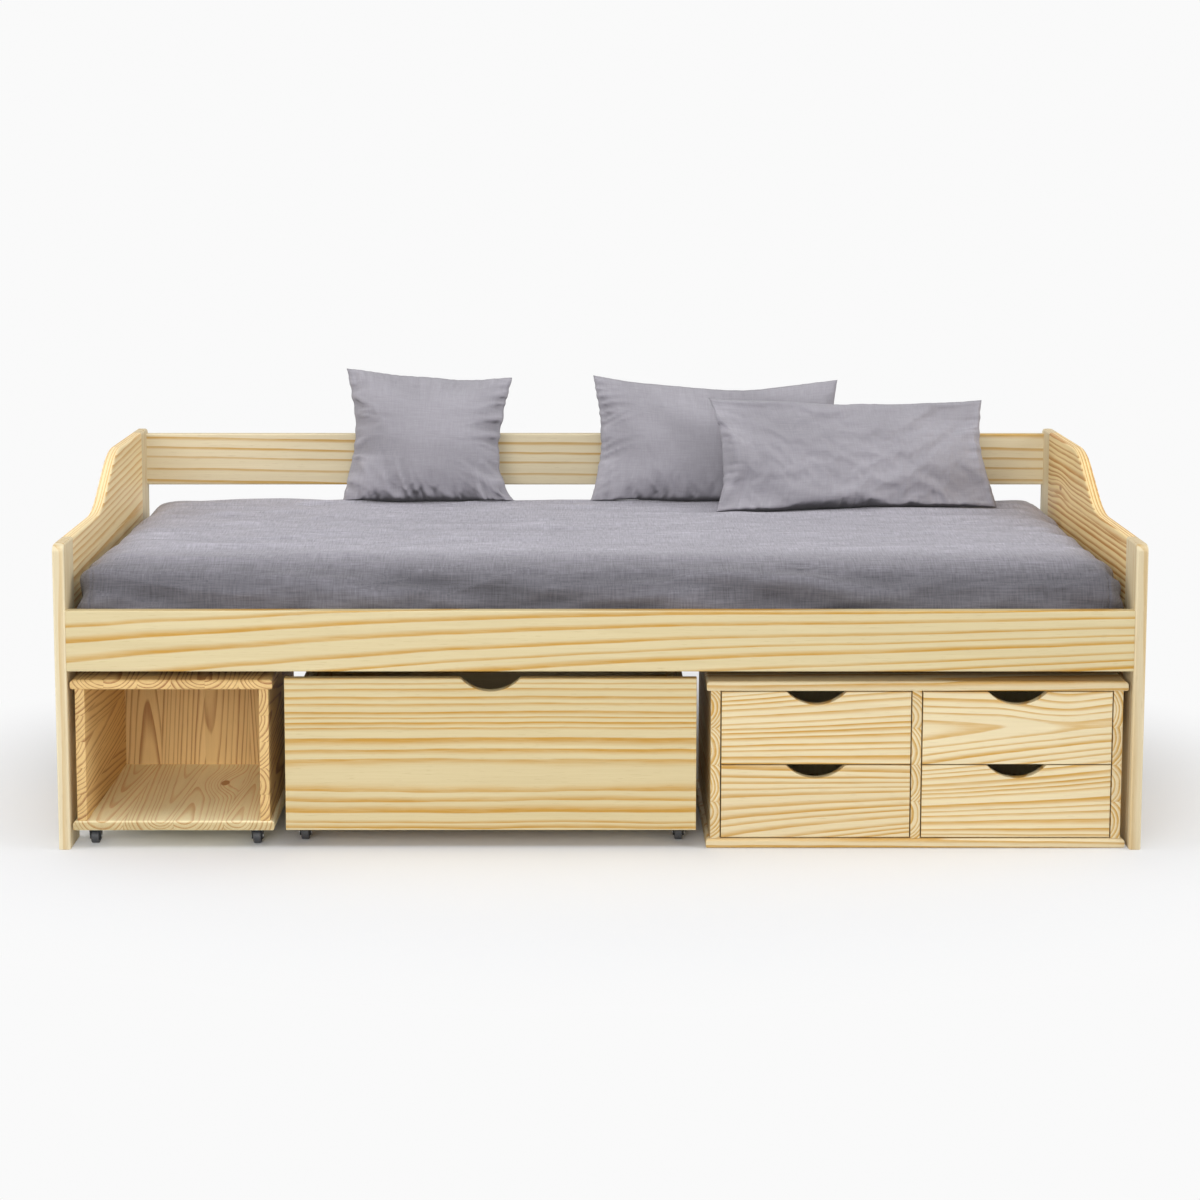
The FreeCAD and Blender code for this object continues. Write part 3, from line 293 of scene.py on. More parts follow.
pineTones = {
    "pale": {"early": linear(229, 212, 172), "late": linear(202, 156, 74)},
    "light": {"early": linear(229, 214, 179), "late": linear(202, 162, 90)},
    "honey": {"early": linear(214, 197, 153), "late": linear(194, 147, 60)},
    "bright": {"early": linear(250, 227, 178), "late": linear(216, 163, 80)},
    "amber": {"early": linear(249, 222, 164), "late": linear(198, 138, 58)},
    "mid": {"early": linear(255, 244, 202), "late": linear(208, 146, 58)},
    "warm": {"early": linear(234, 200, 138), "late": linear(150, 82, 24)},
}
axes = {"x": Vector((1, 0, 0)), "y": Vector((0, 1, 0)), "z": Vector((0, 0, 1))}

# Boards: which way the grain runs and the board is wide, how many staves it has, and how its rings lie
boardDefaults = {
    "staves": 1,
    "tone": "pale",
    "ring": 0.0105,  # width of a year
    "line": 0.0036,  # width of its dark line
    "faceLines": 1.0,  # how strong the lines are on the faces
    "endLines": 0.8,  # and on the end grain
    "endTint": -0.12,
    "pith": 0.5,  # where the pith lies across a stave, as a share of its width
    "depth": 0.08,  # and how far from the middle of the board
    "spread": 0.5,  # how much the staves differ in this
    "tilt": 0.0,
    "fan": 0.0,
    "taper": 0.012,
    "wander": 0.02,
    "knot": (0, 0),
    "push": 0.0,
    "core": 0.0,
    "shapedEdge": False,
}
legGrain = {"along": "z", "across": "y", "pith": 1.6, "depth": 0.12, "tone": "light", "faceLines": 0.5}
chestSideGrain = {"along": "y", "across": "z", "staves": 4, "ring": 0.007, "line": 0.0026, "depth": 0.04,
                  "endLines": 1.1, "endTint": -0.03}
# the small fronts' deep end tint is partly the end grain's darker finish and partly painted shade, for the
# dark gaps round the drawer fronts
smallFrontGrain = {"along": "x", "across": "z", "spread": 0.0, "wander": 0.03, "endTint": -0.5}
smallBoxGrain = {"along": "y", "across": "z", "faceLines": 0.4, "endLines": 0.1}
cubeGrain = {"tone": "warm", "ring": 0.0078, "line": 0.0017, "faceLines": 0.7, "depth": 0.04, "spread": 1.7,
             "taper": 0.05, "wander": 0.016}
pineBoards = {
    "front_rail": {"along": "x", "across": "z", "seed": 11, "ring": 0.022, "line": 0.0050, "pith": 1.8,
                   "depth": 0.05, "tilt": 0.032, "fan": -0.05, "wander": 0.05, "spread": 0.0,
                   "tone": "honey"},
    "rear_rail": {"along": "x", "across": "z", "seed": 12, "ring": 0.017, "pith": -0.9},
    "backrest_rail": {"along": "x", "across": "z", "seed": 13, "ring": 0.022, "line": 0.0034, "pith": -1.2,
                      "depth": 0.06, "wander": 0.012, "spread": 0.0, "tone": "light"},
    "left_front_leg": {**legGrain, "seed": 14},
    "left_rear_leg": {**legGrain, "seed": 15},
    "right_front_leg": {**legGrain, "seed": 16},
    "right_rear_leg": {**legGrain, "seed": 17},
    "left_end_panel": {"along": "y", "across": "z", "staves": 3, "seed": 18, "ring": 0.013, "tilt": 0.03,
                       "pith": -0.6, "spread": 0.3, "taper": 0.004, "tone": "bright", "faceLines": 0.8,
                       "shapedEdge": True},
    "right_end_panel": {"along": "y", "across": "z", "staves": 4, "seed": 19, "ring": 0.011, "pith": 1.5,
                        "spread": 0.3, "taper": 0.004, "tone": "amber", "wander": 0.03, "shapedEdge": True,
                        "knot": (0.25, 0.385), "push": 0.011, "core": 0.004},
    "slat_battens": {"along": "x", "across": "z", "seed": 20},
    "bed_slats": {"along": "y", "across": "x", "staves": 14, "seed": 21},
    "drawer_front": {"along": "x", "across": "z", "seed": 22, "ring": 0.0115, "line": 0.004, "pith": 0.36,
                     "depth": 0.05, "spread": 0.0, "wander": 0.014, "taper": 0.004, "tone": "honey"},
    "drawer_left_side": {"along": "y", "across": "z", "staves": 3, "seed": 23},
    "drawer_right_side": {"along": "y", "across": "z", "staves": 3, "seed": 24},
    "drawer_back": {"along": "x", "across": "z", "staves": 3, "seed": 25},
    "drawer_bottom": {"along": "x", "across": "y", "staves": 6, "seed": 26},
    "chest_top": {"along": "x", "across": "y", "staves": 5, "seed": 27},
    "chest_bottom": {"along": "x", "across": "y", "staves": 5, "seed": 28},
    "chest_left_side": {**chestSideGrain, "seed": 29},
    "chest_divider": {**chestSideGrain, "seed": 30},
    "chest_right_side": {**chestSideGrain, "seed": 31},
    "chest_back": {"along": "x", "across": "z", "staves": 4, "seed": 32},
    "chest_runners": {"along": "y", "across": "z", "seed": 33},
    "upper_left_front": {**smallFrontGrain, "seed": 34, "ring": 0.0115, "pith": -0.5, "depth": 0.03,
                         "tilt": 0.045, "fan": 0.09},
    "upper_right_front": {**smallFrontGrain, "seed": 35, "ring": 0.0125, "pith": 0.52, "depth": 0.009,
                          "tilt": 0.04, "fan": -0.06, "taper": 0.05, "knot": (0.085, 0.116), "push": 0.014},
    "lower_left_front": {**smallFrontGrain, "seed": 36, "ring": 0.0125, "pith": 1.6, "depth": 0.03,
                         "tilt": 0.08, "fan": -0.17},
    "lower_right_front": {**smallFrontGrain, "seed": 37, "ring": 0.0115, "pith": -0.45, "depth": 0.03,
                          "tilt": 0.055, "fan": 0.11},
    "upper_left_box": {**smallBoxGrain, "seed": 38},
    "upper_right_box": {**smallBoxGrain, "seed": 39},
    "lower_left_box": {**smallBoxGrain, "seed": 40},
    "lower_right_box": {**smallBoxGrain, "seed": 41},
    "cube_top": {"along": "y", "across": "x", "staves": 6, "seed": 51, **cubeGrain},
    "cube_bottom": {"along": "y", "across": "x", "staves": 4, "seed": 52, **cubeGrain, "tone": "mid",
                    "faceLines": 0.5, "spread": 0.8, "depth": 0.025, "knot": (0.06, 0.25), "push": 0.03,
                    "core": 0.007, "endTint": -0.45},
    "cube_left_side": {"along": "y", "across": "z", "staves": 5, "seed": 53, **cubeGrain, "spread": 0.6,
                       "pith": 1.4},
    "cube_right_side": {"along": "y", "across": "z", "staves": 5, "seed": 54, **cubeGrain},
    "cube_back": {"along": "z", "across": "x", "staves": 4, "seed": 55, **cubeGrain},
}


def facesAlong(tree, normal, axis):
    # 1 where the surface faces along the axis, either way
    share = addNode(tree, "ShaderNodeVectorMath", {0: normal, 1: axis}, operation="DOT_PRODUCT")
    return calc(tree, "ABSOLUTE", share.outputs["Value"])


def dressBoard(name, board):
    look = {**boardDefaults, **board}
    low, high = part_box(name)
    alongAxis = axes[look["along"]]
    acrossAxis = axes[look["across"]]
    throughAxis = alongAxis.cross(acrossAxis)
    width = (high - low).dot(acrossAxis)
    turn = Matrix((alongAxis, acrossAxis, throughAxis))
    shift = turn @ ((low + high) / -2)
    shift.y += width / 2
    made, tree, shader = newMaterial(f"pine_{name}")
    coords = addNode(tree, "ShaderNodeTexCoord").outputs
    place = addNode(tree, "ShaderNodeMapping", {
        "Vector": coords["Object"], "Rotation": turn.to_euler(), "Location": shift,
    }).outputs[0]
    end = ramp(tree, facesAlong(tree, coords["Normal"], alongAxis), 0.6, 0.9)
    grain = addNode(tree, "ShaderNodeGroup", node_tree=pineGroup)
    settings = {
        "Early": pineTones[look["tone"]]["early"],
        "Late": pineTones[look["tone"]]["late"],
        "Stave": width / look["staves"],
        "Ring": look["ring"],
        "Line": look["line"],
        "Face Lines": look["faceLines"],
        "End Lines": look["endLines"],
        "Pith": look["pith"],
        "Pith Depth": look["depth"],
        "Pith Spread": look["spread"],
        "Tilt": look["tilt"],
        "Fan": look["fan"],
        "Taper": look["taper"],
        "Wander": look["wander"],
        "Knot Place": (*look["knot"], 0),
        "Knot Push": look["push"],
        "Knot Core": look["core"],
        "End Tint": look["endTint"],
        "Seed": look["seed"] * 1.37,  # keeps the boards' patterns apart
    }
    for label, value in settings.items():
        grain.inputs[label].default_value = value
    tree.links.new(place, grain.inputs["Vector"])
    tree.links.new(end, grain.inputs["End"])
    if look["shapedEdge"]:
        flat = facesAlong(tree, coords["Normal"], throughAxis)
        tree.links.new(calc(tree, "LESS_THAN", flat, 0.6), grain.inputs["Edge"])
    bump = addNode(tree, "ShaderNodeBump", {
        "Height": grain.outputs["Height"], "Strength": pineHabit["bump"],
        "Distance": pineHabit["bumpDistance"],
    })
    tree.links.new(grain.outputs["Color"], shader.inputs["Base Color"])
    tree.links.new(grain.outputs["Roughness"], shader.inputs["Roughness"])
    tree.links.new(bump.outputs[0], shader.inputs["Normal"])
    shader.inputs["Specular IOR Level"].default_value = pineHabit["specular"]
    paint(nodes[name], made)


def paint(obj, material):
    obj.data.materials.clear()
    obj.data.materials.append(material)


for boardName, board in pineBoards.items():
    dressBoard(boardName, board)
print("pine boards dressed:", len(pineBoards))


# Castors and fasteners

def speckled(name, colour, roughness, spread, size, metallic=0.0):
    made, tree, shader = newMaterial(name)
    place = addNode(tree, "ShaderNodeTexCoord").outputs["Object"]
    grit = addNode(tree, "ShaderNodeTexNoise", {"Vector": place, "Scale": size, "Detail": 4.0}).outputs[0]
    tint = ramp(tree, grit, 0.25, 0.75, 1.0 - spread, 1.0 + spread)
    shades = addNode(tree, "ShaderNodeCombineColor", {"Red": tint, "Green": tint, "Blue": tint})
    tinted = blendColour(tree, 1.0, colour, shades.outputs[0], "MULTIPLY")
    tree.links.new(tinted, shader.inputs["Base Color"])
    rough = ramp(tree, grit, 0.2, 0.8, roughness - 0.08, roughness + 0.08)
    tree.links.new(rough, shader.inputs["Roughness"])
    bump = addNode(tree, "ShaderNodeBump", {"Height": grit, "Strength": 0.15, "Distance": 0.0003})
    tree.links.new(bump.outputs[0], shader.inputs["Normal"])
    shader.inputs["Metallic"].default_value = metallic
    return made


blackPlastic = speckled("black_plastic", linear(38, 38, 41), 0.42, 0.2, 700.0)
wheelRubber = speckled("wheel_rubber", linear(72, 73, 76), 0.55, 0.25, 400.0)
zincSteel = speckled("zinc_steel", linear(190, 191, 194), 0.3, 0.1, 900.0, 1.0)
beech = speckled("beech_dowel", linear(214, 178, 138), 0.6, 0.12, 300.0)

cornerNames = ("front_left", "front_right", "rear_left", "rear_right")
finishes = {
    "cube_casters": blackPlastic,
    "drawer_casters": blackPlastic,
    **{f"{unit}_wheel_{corner}": wheelRubber for unit in ("cube", "drawer") for corner in cornerNames},
    **{name: zincSteel for name in ("rail_bolts", "barrel_nuts", "slat_screws", "chest_screws",
                                    "cube_hardware", "drawer_hardware")},
    **{name: beech for name in ("panel_dowels", "cube_dowels", "drawer_dowels", "chest_dowels")},
}
for name, finish in finishes.items():
    paint(nodes[name], finish)
print("castors and fasteners dressed:", len(finishes))


# Linen: slubby threads both ways on a map laid out in metres

def makeLinenGroup():
    tree, source, target = newGroup("linenWeave", [
        ("Vector", "Vector", None),
        ("Colour", "Color", None),
        ("Threads", "Float", 620.0),
        ("Slub", "Float", 0.16),
    ], [("Color", "Color"), ("Roughness", "Float"), ("Height", "Float")])
    vector = source["Vector"]
    split = addNode(tree, "ShaderNodeSeparateXYZ", {"Vector": vector})

    def threads(alongU, alongV, key, detail):
        spread = addNode(tree, "ShaderNodeMapping", {"Vector": vector, "Scale": (alongU, alongV, 1.0)})
        return calc(tree, "SUBTRACT", cloud(tree, spread.outputs[0], key, detail), 0.5)

    # thick and thin threads both ways, coarse slubs, and a slow change of tone
    fine = calc(tree, "ADD", threads(900.0, 60.0, 3.0, 2.0), threads(60.0, 900.0, 9.0, 2.0))
    coarse = calc(tree, "ADD", threads(330.0, 26.0, 17.0, 1.0), threads(20.0, 330.0, 23.0, 1.0))
    slubs = calc(tree, "MULTIPLY_ADD", coarse, 1.5, fine)
    blotch = threads(9.0, 14.0, 5.0, 3.0)
    tint = calc(tree, "MULTIPLY_ADD", slubs, source["Slub"], 1.0)
    tint = calc(tree, "MULTIPLY_ADD", blotch, calc(tree, "MULTIPLY", source["Slub"], 0.45), tint)
    turns = calc(tree, "MULTIPLY", source["Threads"], 2 * math.pi)
    waveU = calc(tree, "SINE", calc(tree, "MULTIPLY", split.outputs[0], turns))
    waveV = calc(tree, "SINE", calc(tree, "MULTIPLY", split.outputs[1], turns))
    weave = calc(tree, "MULTIPLY", waveU, waveV)
    tint = calc(tree, "MULTIPLY_ADD", weave, 0.05, tint)
    shades = addNode(tree, "ShaderNodeCombineColor", {"Red": tint, "Green": tint, "Blue": tint})
    feed(tree, target["Color"], blendColour(tree, 1.0, source["Colour"], shades.outputs[0], "MULTIPLY"))
    feed(tree, target["Roughness"], calc(tree, "MULTIPLY_ADD", slubs, 0.1, 0.86))
    feed(tree, target["Height"], calc(tree, "MULTIPLY_ADD", slubs, 0.9, calc(tree, "MULTIPLY", weave, 0.5)))
    return tree


linenGroup = makeLinenGroup()


# the three tones after the colour and slub are painted shade: for cloth that hangs down, for the hollows of
# folds (with painted highlight on their ridges), and for what faces down
linens = {
    "grey_sheet_linen": {"colour": linear(170, 167, 176), "slub": 0.5, "foldShadeTone": 0.26, "hangShadeTone": 0.37,
                         "underShadeTone": 1.0},
    "grey_cushion_linen": {"colour": linear(161, 158, 165), "slub": 0.14, "foldShadeTone": 0.16, "hangShadeTone": 1.0,
                           "underShadeTone": 0.25},
}
linenFinish = {"bump": 0.35, "bumpDistance": 0.0008, "sheen": 0.12, "sheenRough": 0.5, "specular": 0.2}


def linenMaterial(name):
    look = linens[name]
    made, tree, shader = newMaterial(name)
    laid = addNode(tree, "ShaderNodeUVMap", uv_map="weaveMap").outputs[0]
    cloth = addNode(tree, "ShaderNodeGroup", node_tree=linenGroup)
    cloth.inputs["Colour"].default_value = look["colour"]
    cloth.inputs["Slub"].default_value = look["slub"]
    tree.links.new(laid, cloth.inputs["Vector"])
    bump = addNode(tree, "ShaderNodeBump", {
        "Height": cloth.outputs["Height"], "Strength": linenFinish["bump"],
        "Distance": linenFinish["bumpDistance"],
    })
    # painted shade: cloth that hangs down is toned darker than what lies level, and its folds are toned
    # darker in their hollows and lighter on their ridges, as painted shade and highlight
    hangShade = addNode(tree, "ShaderNodeAttribute", attribute_name="hangShade").outputs["Fac"]
    foldShading = addNode(tree, "ShaderNodeAttribute", attribute_name="foldShading").outputs["Fac"]
    tone = calc(tree, "MULTIPLY_ADD", hangShade, look["hangShadeTone"] - 1.0, 1.0)
    tone = calc(tree, "MULTIPLY", tone, calc(tree, "MULTIPLY_ADD", foldShading, look["foldShadeTone"], 1.0))
    # painted shade: what faces down is toned darkest
    facing = addNode(tree, "ShaderNodeTexCoord").outputs["Normal"]
    upward = addNode(tree, "ShaderNodeSeparateXYZ", {"Vector": facing}).outputs["Z"]
    tone = calc(tree, "MULTIPLY", tone, ramp(tree, upward, -0.8, -0.25, look["underShadeTone"], 1.0))
    shades = addNode(tree, "ShaderNodeCombineColor", {"Red": tone, "Green": tone, "Blue": tone})
    toned = blendColour(tree, 1.0, cloth.outputs["Color"], shades.outputs[0], "MULTIPLY")
    tree.links.new(toned, shader.inputs["Base Color"])
    tree.links.new(cloth.outputs["Roughness"], shader.inputs["Roughness"])
    tree.links.new(bump.outputs[0], shader.inputs["Normal"])
    shader.inputs["Sheen Weight"].default_value = linenFinish["sheen"]
    shader.inputs["Sheen Roughness"].default_value = linenFinish["sheenRough"]
    shader.inputs["Specular IOR Level"].default_value = linenFinish["specular"]
    return made


sheetLinen = linenMaterial("grey_sheet_linen")
cushionLinen = linenMaterial("grey_cushion_linen")


def newPiece(name, mesh, body, material, node):
    piece = bpy.data.objects.new(name, mesh)
    scene.collection.objects.link(piece)
    paint(piece, material)
    for face in mesh.polygons:
        face.use_smooth = True
    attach(piece, body)
    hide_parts(node)
    return piece


def layWeave(mesh, places):
    # lays the cloth's threads on each face from the side that it looks to
    layer = mesh.uv_layers.new(name="weaveMap")
    for face in mesh.polygons:
        corners = [places[mesh.loops[index].vertex_index] for index in face.loop_indices]
        normal = (corners[1] - corners[0]).cross(corners[2] - corners[1])
        facing = max(range(3), key=lambda axis: abs(normal[axis]))
        one, other = ((1, 2), (0, 2), (0, 1))[facing]
        for index, corner in zip(face.loop_indices, corners):
            layer.data[index].uv = (corner[one], corner[other])


def storeValues(mesh, name, values):
    # keeps one value from -1 to 1 at each point for the linen to read
    layer = mesh.attributes.new(name, "FLOAT", "POINT")
    layer.data.foreach_set("value", [max(-1.0, min(1.0, value)) for value in values])


def evaluated(obj):
    return bpy.data.meshes.new_from_object(obj.evaluated_get(bpy.context.evaluated_depsgraph_get()))


coverCloth = {
    "mass": 0.2,
    "air_damping": 6.0,
    "tension_stiffness": 20,
    "compression_stiffness": 20,
    "shear_stiffness": 8,
    "tension_damping": 20,
    "compression_damping": 20,
    "shear_damping": 20,
}


def inflate(name, mesh, held, look):
    # fills the cover with air for a while, with the held points staying where they are
    shell = bpy.data.objects.new(f"{name}_shell", mesh)
    scene.collection.objects.link(shell)
    shell.vertex_groups.new(name="held").add(held, 1.0, "REPLACE")
    cloth = shell.modifiers.new("filling", "CLOTH")
    settings = cloth.settings
    for label, value in coverCloth.items():
        setattr(settings, label, value)
    settings.quality = look["quality"]
    settings.bending_stiffness = look["stiff"]
    settings.shrink_min = -look["slack"]
    settings.vertex_group_mass = "held"
    settings.use_pressure = True
    settings.uniform_pressure_force = look["pressure"]
    settings.effector_weights.gravity = 0
    cloth.point_cache.frame_start = 1
    cloth.point_cache.frame_end = look["frames"]
    before = [vert.co.copy() for vert in mesh.vertices]
    for step in range(1, look["frames"] + 1):
        scene.frame_set(step)
    filled = evaluated(shell)
    scene.frame_set(1)
    bpy.data.objects.remove(shell)
    furthest = 0.0
    for vert, was in zip(filled.vertices, before):
        move = vert.co - was
        furthest = max(furthest, move.length)
        if move.length > look["cap"]:
            vert.co = was + move.normalized() * look["cap"]
    print(name, "filled, furthest move", round(furthest, 4))
    return filled


# Mattress in its fitted sheet

mattressLook = {
    "cell": 0.024,
    "smaller": 0.007,  # room left for the folds on every side
    "longer": 0.005,  # less of it at the two ends
    "cornerRound": 0.030,
    "topRound": 0.042,
    "underRound": 0.014,
    "stiff": 2.0,
    "slack": 0.0,
    "pressure": 0.4,
    "frames": 10,
    "quality": 3,
    "cap": 0.008,
    "heldBase": 0.03,
    "wrinkle": 0.0052,
    "foldShadingFull": 2.6,
    "rollFrom": 0.34,
    "rollDeep": 0.010,
    "rollDown": 0.05,
    # painted shade on the sheet: the next four set where the hanging sides turn dark along the long sides and
    # at the ends, and how dark the rear and the ends get
    "longShadeRamp": (0.26, 0.475),
    "endShadeRamp": (0.94, 1.05),
    "rearHangShade": 0.4,
    "endHangShade": 0.6,
    "seamFromEnd": 0.030,
    "seamWide": 0.003,
    "seamDeep": 0.003,
}


def roundEdges(form, edges, offset, segments):
    bmesh.ops.bevel(form, geom=edges, offset=offset, affect="EDGES", segments=segments, profile=0.5,
                    material=-1)


def mattressBlank(look, low, high):
    size = high - low
    form = bmesh.new()
    bmesh.ops.create_cube(form, size=1.0)
    bmesh.ops.scale(form, vec=size, verts=form.verts)
    bmesh.ops.translate(form, vec=(low + high) / 2, verts=form.verts)
    upright = [edge for edge in form.edges if abs(edge.verts[0].co.z - edge.verts[1].co.z) > size.z / 2]
    roundEdges(form, upright, look["cornerRound"], 6)
    over = [edge for edge in form.edges if all(vert.co.z > high.z - 0.001 for vert in edge.verts)]
    roundEdges(form, over, look["topRound"], 5)
    under = [edge for edge in form.edges if all(vert.co.z < low.z + 0.001 for vert in edge.verts)]
    roundEdges(form, under, look["underRound"], 3)
    mesh = bpy.data.meshes.new("mattress_blank")
    form.to_mesh(mesh)
    form.free()
    blank = bpy.data.objects.new("mattress_blank", mesh)
    scene.collection.objects.link(blank)
    remesh = blank.modifiers.new("evenMesh", "REMESH")
    remesh.mode = "VOXEL"
    remesh.voxel_size = look["cell"]
    even = evaluated(blank)
    bpy.data.objects.remove(blank)
    return even


def refine(name, mesh):
    coarse = bpy.data.objects.new(f"{name}_coarse", mesh)
    scene.collection.objects.link(coarse)
    finer = coarse.modifiers.new("finer", "SUBSURF")
    finer.levels = 2
    finer.render_levels = 2
    fine = evaluated(coarse)
    bpy.data.objects.remove(coarse)
    return fine


def smoothStep(value, start, end):
    share = max(0.0, min(1.0, (value - start) / (end - start)))
    return share * share * (3 - 2 * share)


# how deep each kind of fold is beside the others, before the sheet's wrinkle depth
foldLook = {
    "drift": 0.09,
    "long": 1.1,
    "short": 0.8,
    "crease": 0.6,
    "swell": 3.4,
    "small": 1.2,
    "sideFrom": 0.03,
    "calmEnds": (0.955, 0.99),
    "calm": 0.7,
}


def folds(look, place, u, v, top):
    # long soft folds along the bed run on over its edges, with shorter and sharper ones between them,
    # and the sides have swells and small folds of their own
    hangs = top - place.z
    laid = place.y + math.copysign(hangs, v)
    drift = noise.noise(Vector((place.x * 1.7, laid * 2.2, 0.3))) * look["drift"]
    long = noise.noise(Vector((place.x * 2.0, (laid + drift) * 15.0, 3.1)))
    short = noise.noise(Vector((place.x * 6.5 + 8.0, (laid - drift) * 33.0, 7.7)))
    crease = abs(noise.noise(Vector((place.x * 2.6, (laid + drift * 1.6) * 16.0 - place.x * 0.9, 5.5))))
    crease = max(0.0, 1 - crease * 6.0)
    onSide = min(1.0, hangs / look["sideFrom"])
    swell = noise.noise(Vector((place.x * 4.4 + laid * 9.0, laid * 13.0, 1.2))) * onSide
    small = noise.noise(Vector((place.x * 13.0, laid * 38.0 - place.x * 4.0, 9.4))) * onSide
    # deeper to the left and the back, and calm at the two ends
    heavy = 0.8 + 0.35 * max(0.0, -u) + 0.1 * v
    heavy *= 1 - look["calm"] * smoothStep(abs(u), *look["calmEnds"])
    level = long * look["long"] + short * look["short"] + crease * look["crease"]
    return level * heavy + swell * look["swell"] + small * look["small"]


def makeMattress(look):
    low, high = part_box("mattress")
    size = high - low
    middle = (low + high) / 2
    inset = Vector((look["smaller"] - look["longer"], look["smaller"], look["smaller"]))
    shaped = mattressBlank(look, low + inset, high - inset)
    held = [vert.index for vert in shaped.vertices if vert.co.z < low.z + look["heldBase"]]
    shaped = inflate("mattress", shaped, held, look)
    shaped = refine("mattress", shaped)
    shaped.name = "fitted_sheet"
    moved, hangs, foldShadings = [], [], []
    for vert in shaped.vertices:
        place = vert.co
        u = (place.x - middle.x) / (size.x / 2)
        v = (place.y - middle.y) / (size.y / 2)
        fromMiddle = abs(place.y - middle.y)
        down = high.z - place.z
        fold = folds(foldLook, place, u, v, high.z)
        lifted = place + vert.normal * fold * look["wrinkle"]
        # the top rolls off towards the long edges
        roll = max(0.0, (fromMiddle - look["rollFrom"]) / (size.y / 2 - look["rollFrom"]))
        lifted.z -= look["rollDeep"] * roll ** 2 * max(0.0, 1 - down / look["rollDown"])
        moved.append(lifted)
        # painted shade: the front hangs darkest, the rear and the ends less
        longHangShade = smoothStep(fromMiddle + down, *look["longShadeRamp"])
        endHangShade = smoothStep(abs(place.x - middle.x) + down, *look["endShadeRamp"])
        hangs.append(max(longHangShade * (1.0 if v < 0 else look["rearHangShade"]), endHangShade * look["endHangShade"]))
        # the folds' depth is kept to paint shade in their hollows and highlight on their ridges
        foldShadings.append(fold / look["foldShadingFull"])
    for vert, place in zip(shaped.vertices, moved):
        vert.co = place
    storeValues(shaped, "hangShade", hangs)
    storeValues(shaped, "foldShading", foldShadings)

    # corner seams run down the long sides near both ends
    form = bmesh.new()
    form.from_mesh(shaped)
    for side in (-1, 1):
        seam = side * (size.x / 2 - look["seamFromEnd"]) + middle.x
        for offset in (-1, 0, 1):
            bmesh.ops.bisect_plane(form, geom=form.verts[:] + form.edges[:] + form.faces[:], dist=0.0004,
                                   plane_co=(seam + offset * look["seamWide"], 0, 0), plane_no=(1, 0, 0))
        for vert in form.verts:
            near = 1 - abs(vert.co.x - seam) / look["seamWide"]
            outward = vert.normal.y
            if near > 0 and abs(outward) > 0.5:
                vert.co.y -= math.copysign(near * look["seamDeep"], outward)
    form.to_mesh(shaped)
    form.free()
    layWeave(shaped, [vert.co.copy() for vert in shaped.vertices])
    piece = newPiece("fitted_sheet", shaped, "frame", sheetLinen, "mattress")
    return piece


fittedSheet = makeMattress(mattressLook)
sheetTree = BVHTree.FromPolygons([vert.co.copy() for vert in fittedSheet.data.vertices],
                                 [face.vertices[:] for face in fittedSheet.data.polygons])
print("mattress made:", len(fittedSheet.data.vertices), "points")


# Cushions: two panels sewn round an edge that the filling draws in, then filled
# corners: how far each one lies inside the cut width and height
# pulls: how deep each side is drawn in, and where

cushionLooks = {
    "square_cushion": {
        "width": 0.384, "height": 0.306, "thick": 0.125, "lean": 17, "turn": 0, "aside": 0.0, "fill": 0.7,
        "corners": {"topLeft": (0.008, 0.004), "topRight": (0.010, 0.026), "lowLeft": (0.004, 0.0),
                    "lowRight": (0.0, 0.0)},
        "pulls": {"left": (0.022, 0.1), "right": (0.032, -0.35), "top": (0.010, 0.3), "low": (0.0, 0.0)},
        "puckers": {"left": 0.0130, "right": 0.0140, "top": 0.0050, "low": 0.0140},
        "stiff": 0.08, "slack": 0.02,
    },
    "rear_pillow": {
        "width": 0.550, "height": 0.290, "thick": 0.115, "lean": 17, "turn": 0, "aside": 0.0, "fill": 0.65,
        "corners": {"topLeft": (0.010, 0.004), "topRight": (0.0, 0.014), "lowLeft": (0.0, 0.0),
                    "lowRight": (0.0, 0.0)},
        "pulls": {"left": (0.022, -0.25), "right": (0.016, 0.0), "top": (0.026, 0.1), "low": (0.0, 0.0)},
        "puckers": {"left": 0.0130, "right": 0.0060, "top": 0.0026, "low": 0.0070},
        "stiff": 0.2, "slack": 0.012,
    },
    "front_pillow": {
        "width": 0.616, "height": 0.256, "thick": 0.118, "lean": 22, "turn": 5, "aside": -0.006,
        "fill": 0.7,
        "corners": {"topLeft": (0.0, 0.0), "topRight": (0.014, 0.012), "lowLeft": (0.004, 0.0),
                    "lowRight": (0.0, 0.004)},
        "pulls": {"left": (0.026, -0.1), "right": (0.014, 0.1), "top": (0.012, 0.2), "low": (0.0, 0.0)},
        "puckers": {"left": 0.0130, "right": 0.0100, "top": 0.0026, "low": 0.0075},
        "stiff": 0.2, "slack": 0.012,
    },
}
sewing = {
    "cell": 0.0058,
    "startFull": 0.8,
    "edgeFull": 0.45,
    "lowFuller": 0.12,
    "leastFull": 0.3,
    "pressure": 6.0,
    "frames": 11,
    "quality": 5,
    "cap": 0.03,
    "softWave": 0.045,
    "foldShadingFull": 0.005,
    "seamCrease": 0.8,
    "sink": 0.004,
    "clear": 0.0006,
}


def drawnIn(share, deepest):
    # 0 at the corners and 1 where the side is drawn in most
    reach = (share + 1) / (deepest + 1) if share < deepest else (1 - share) / (1 - deepest)
    return math.sin(reach * math.pi / 2) ** 0.9


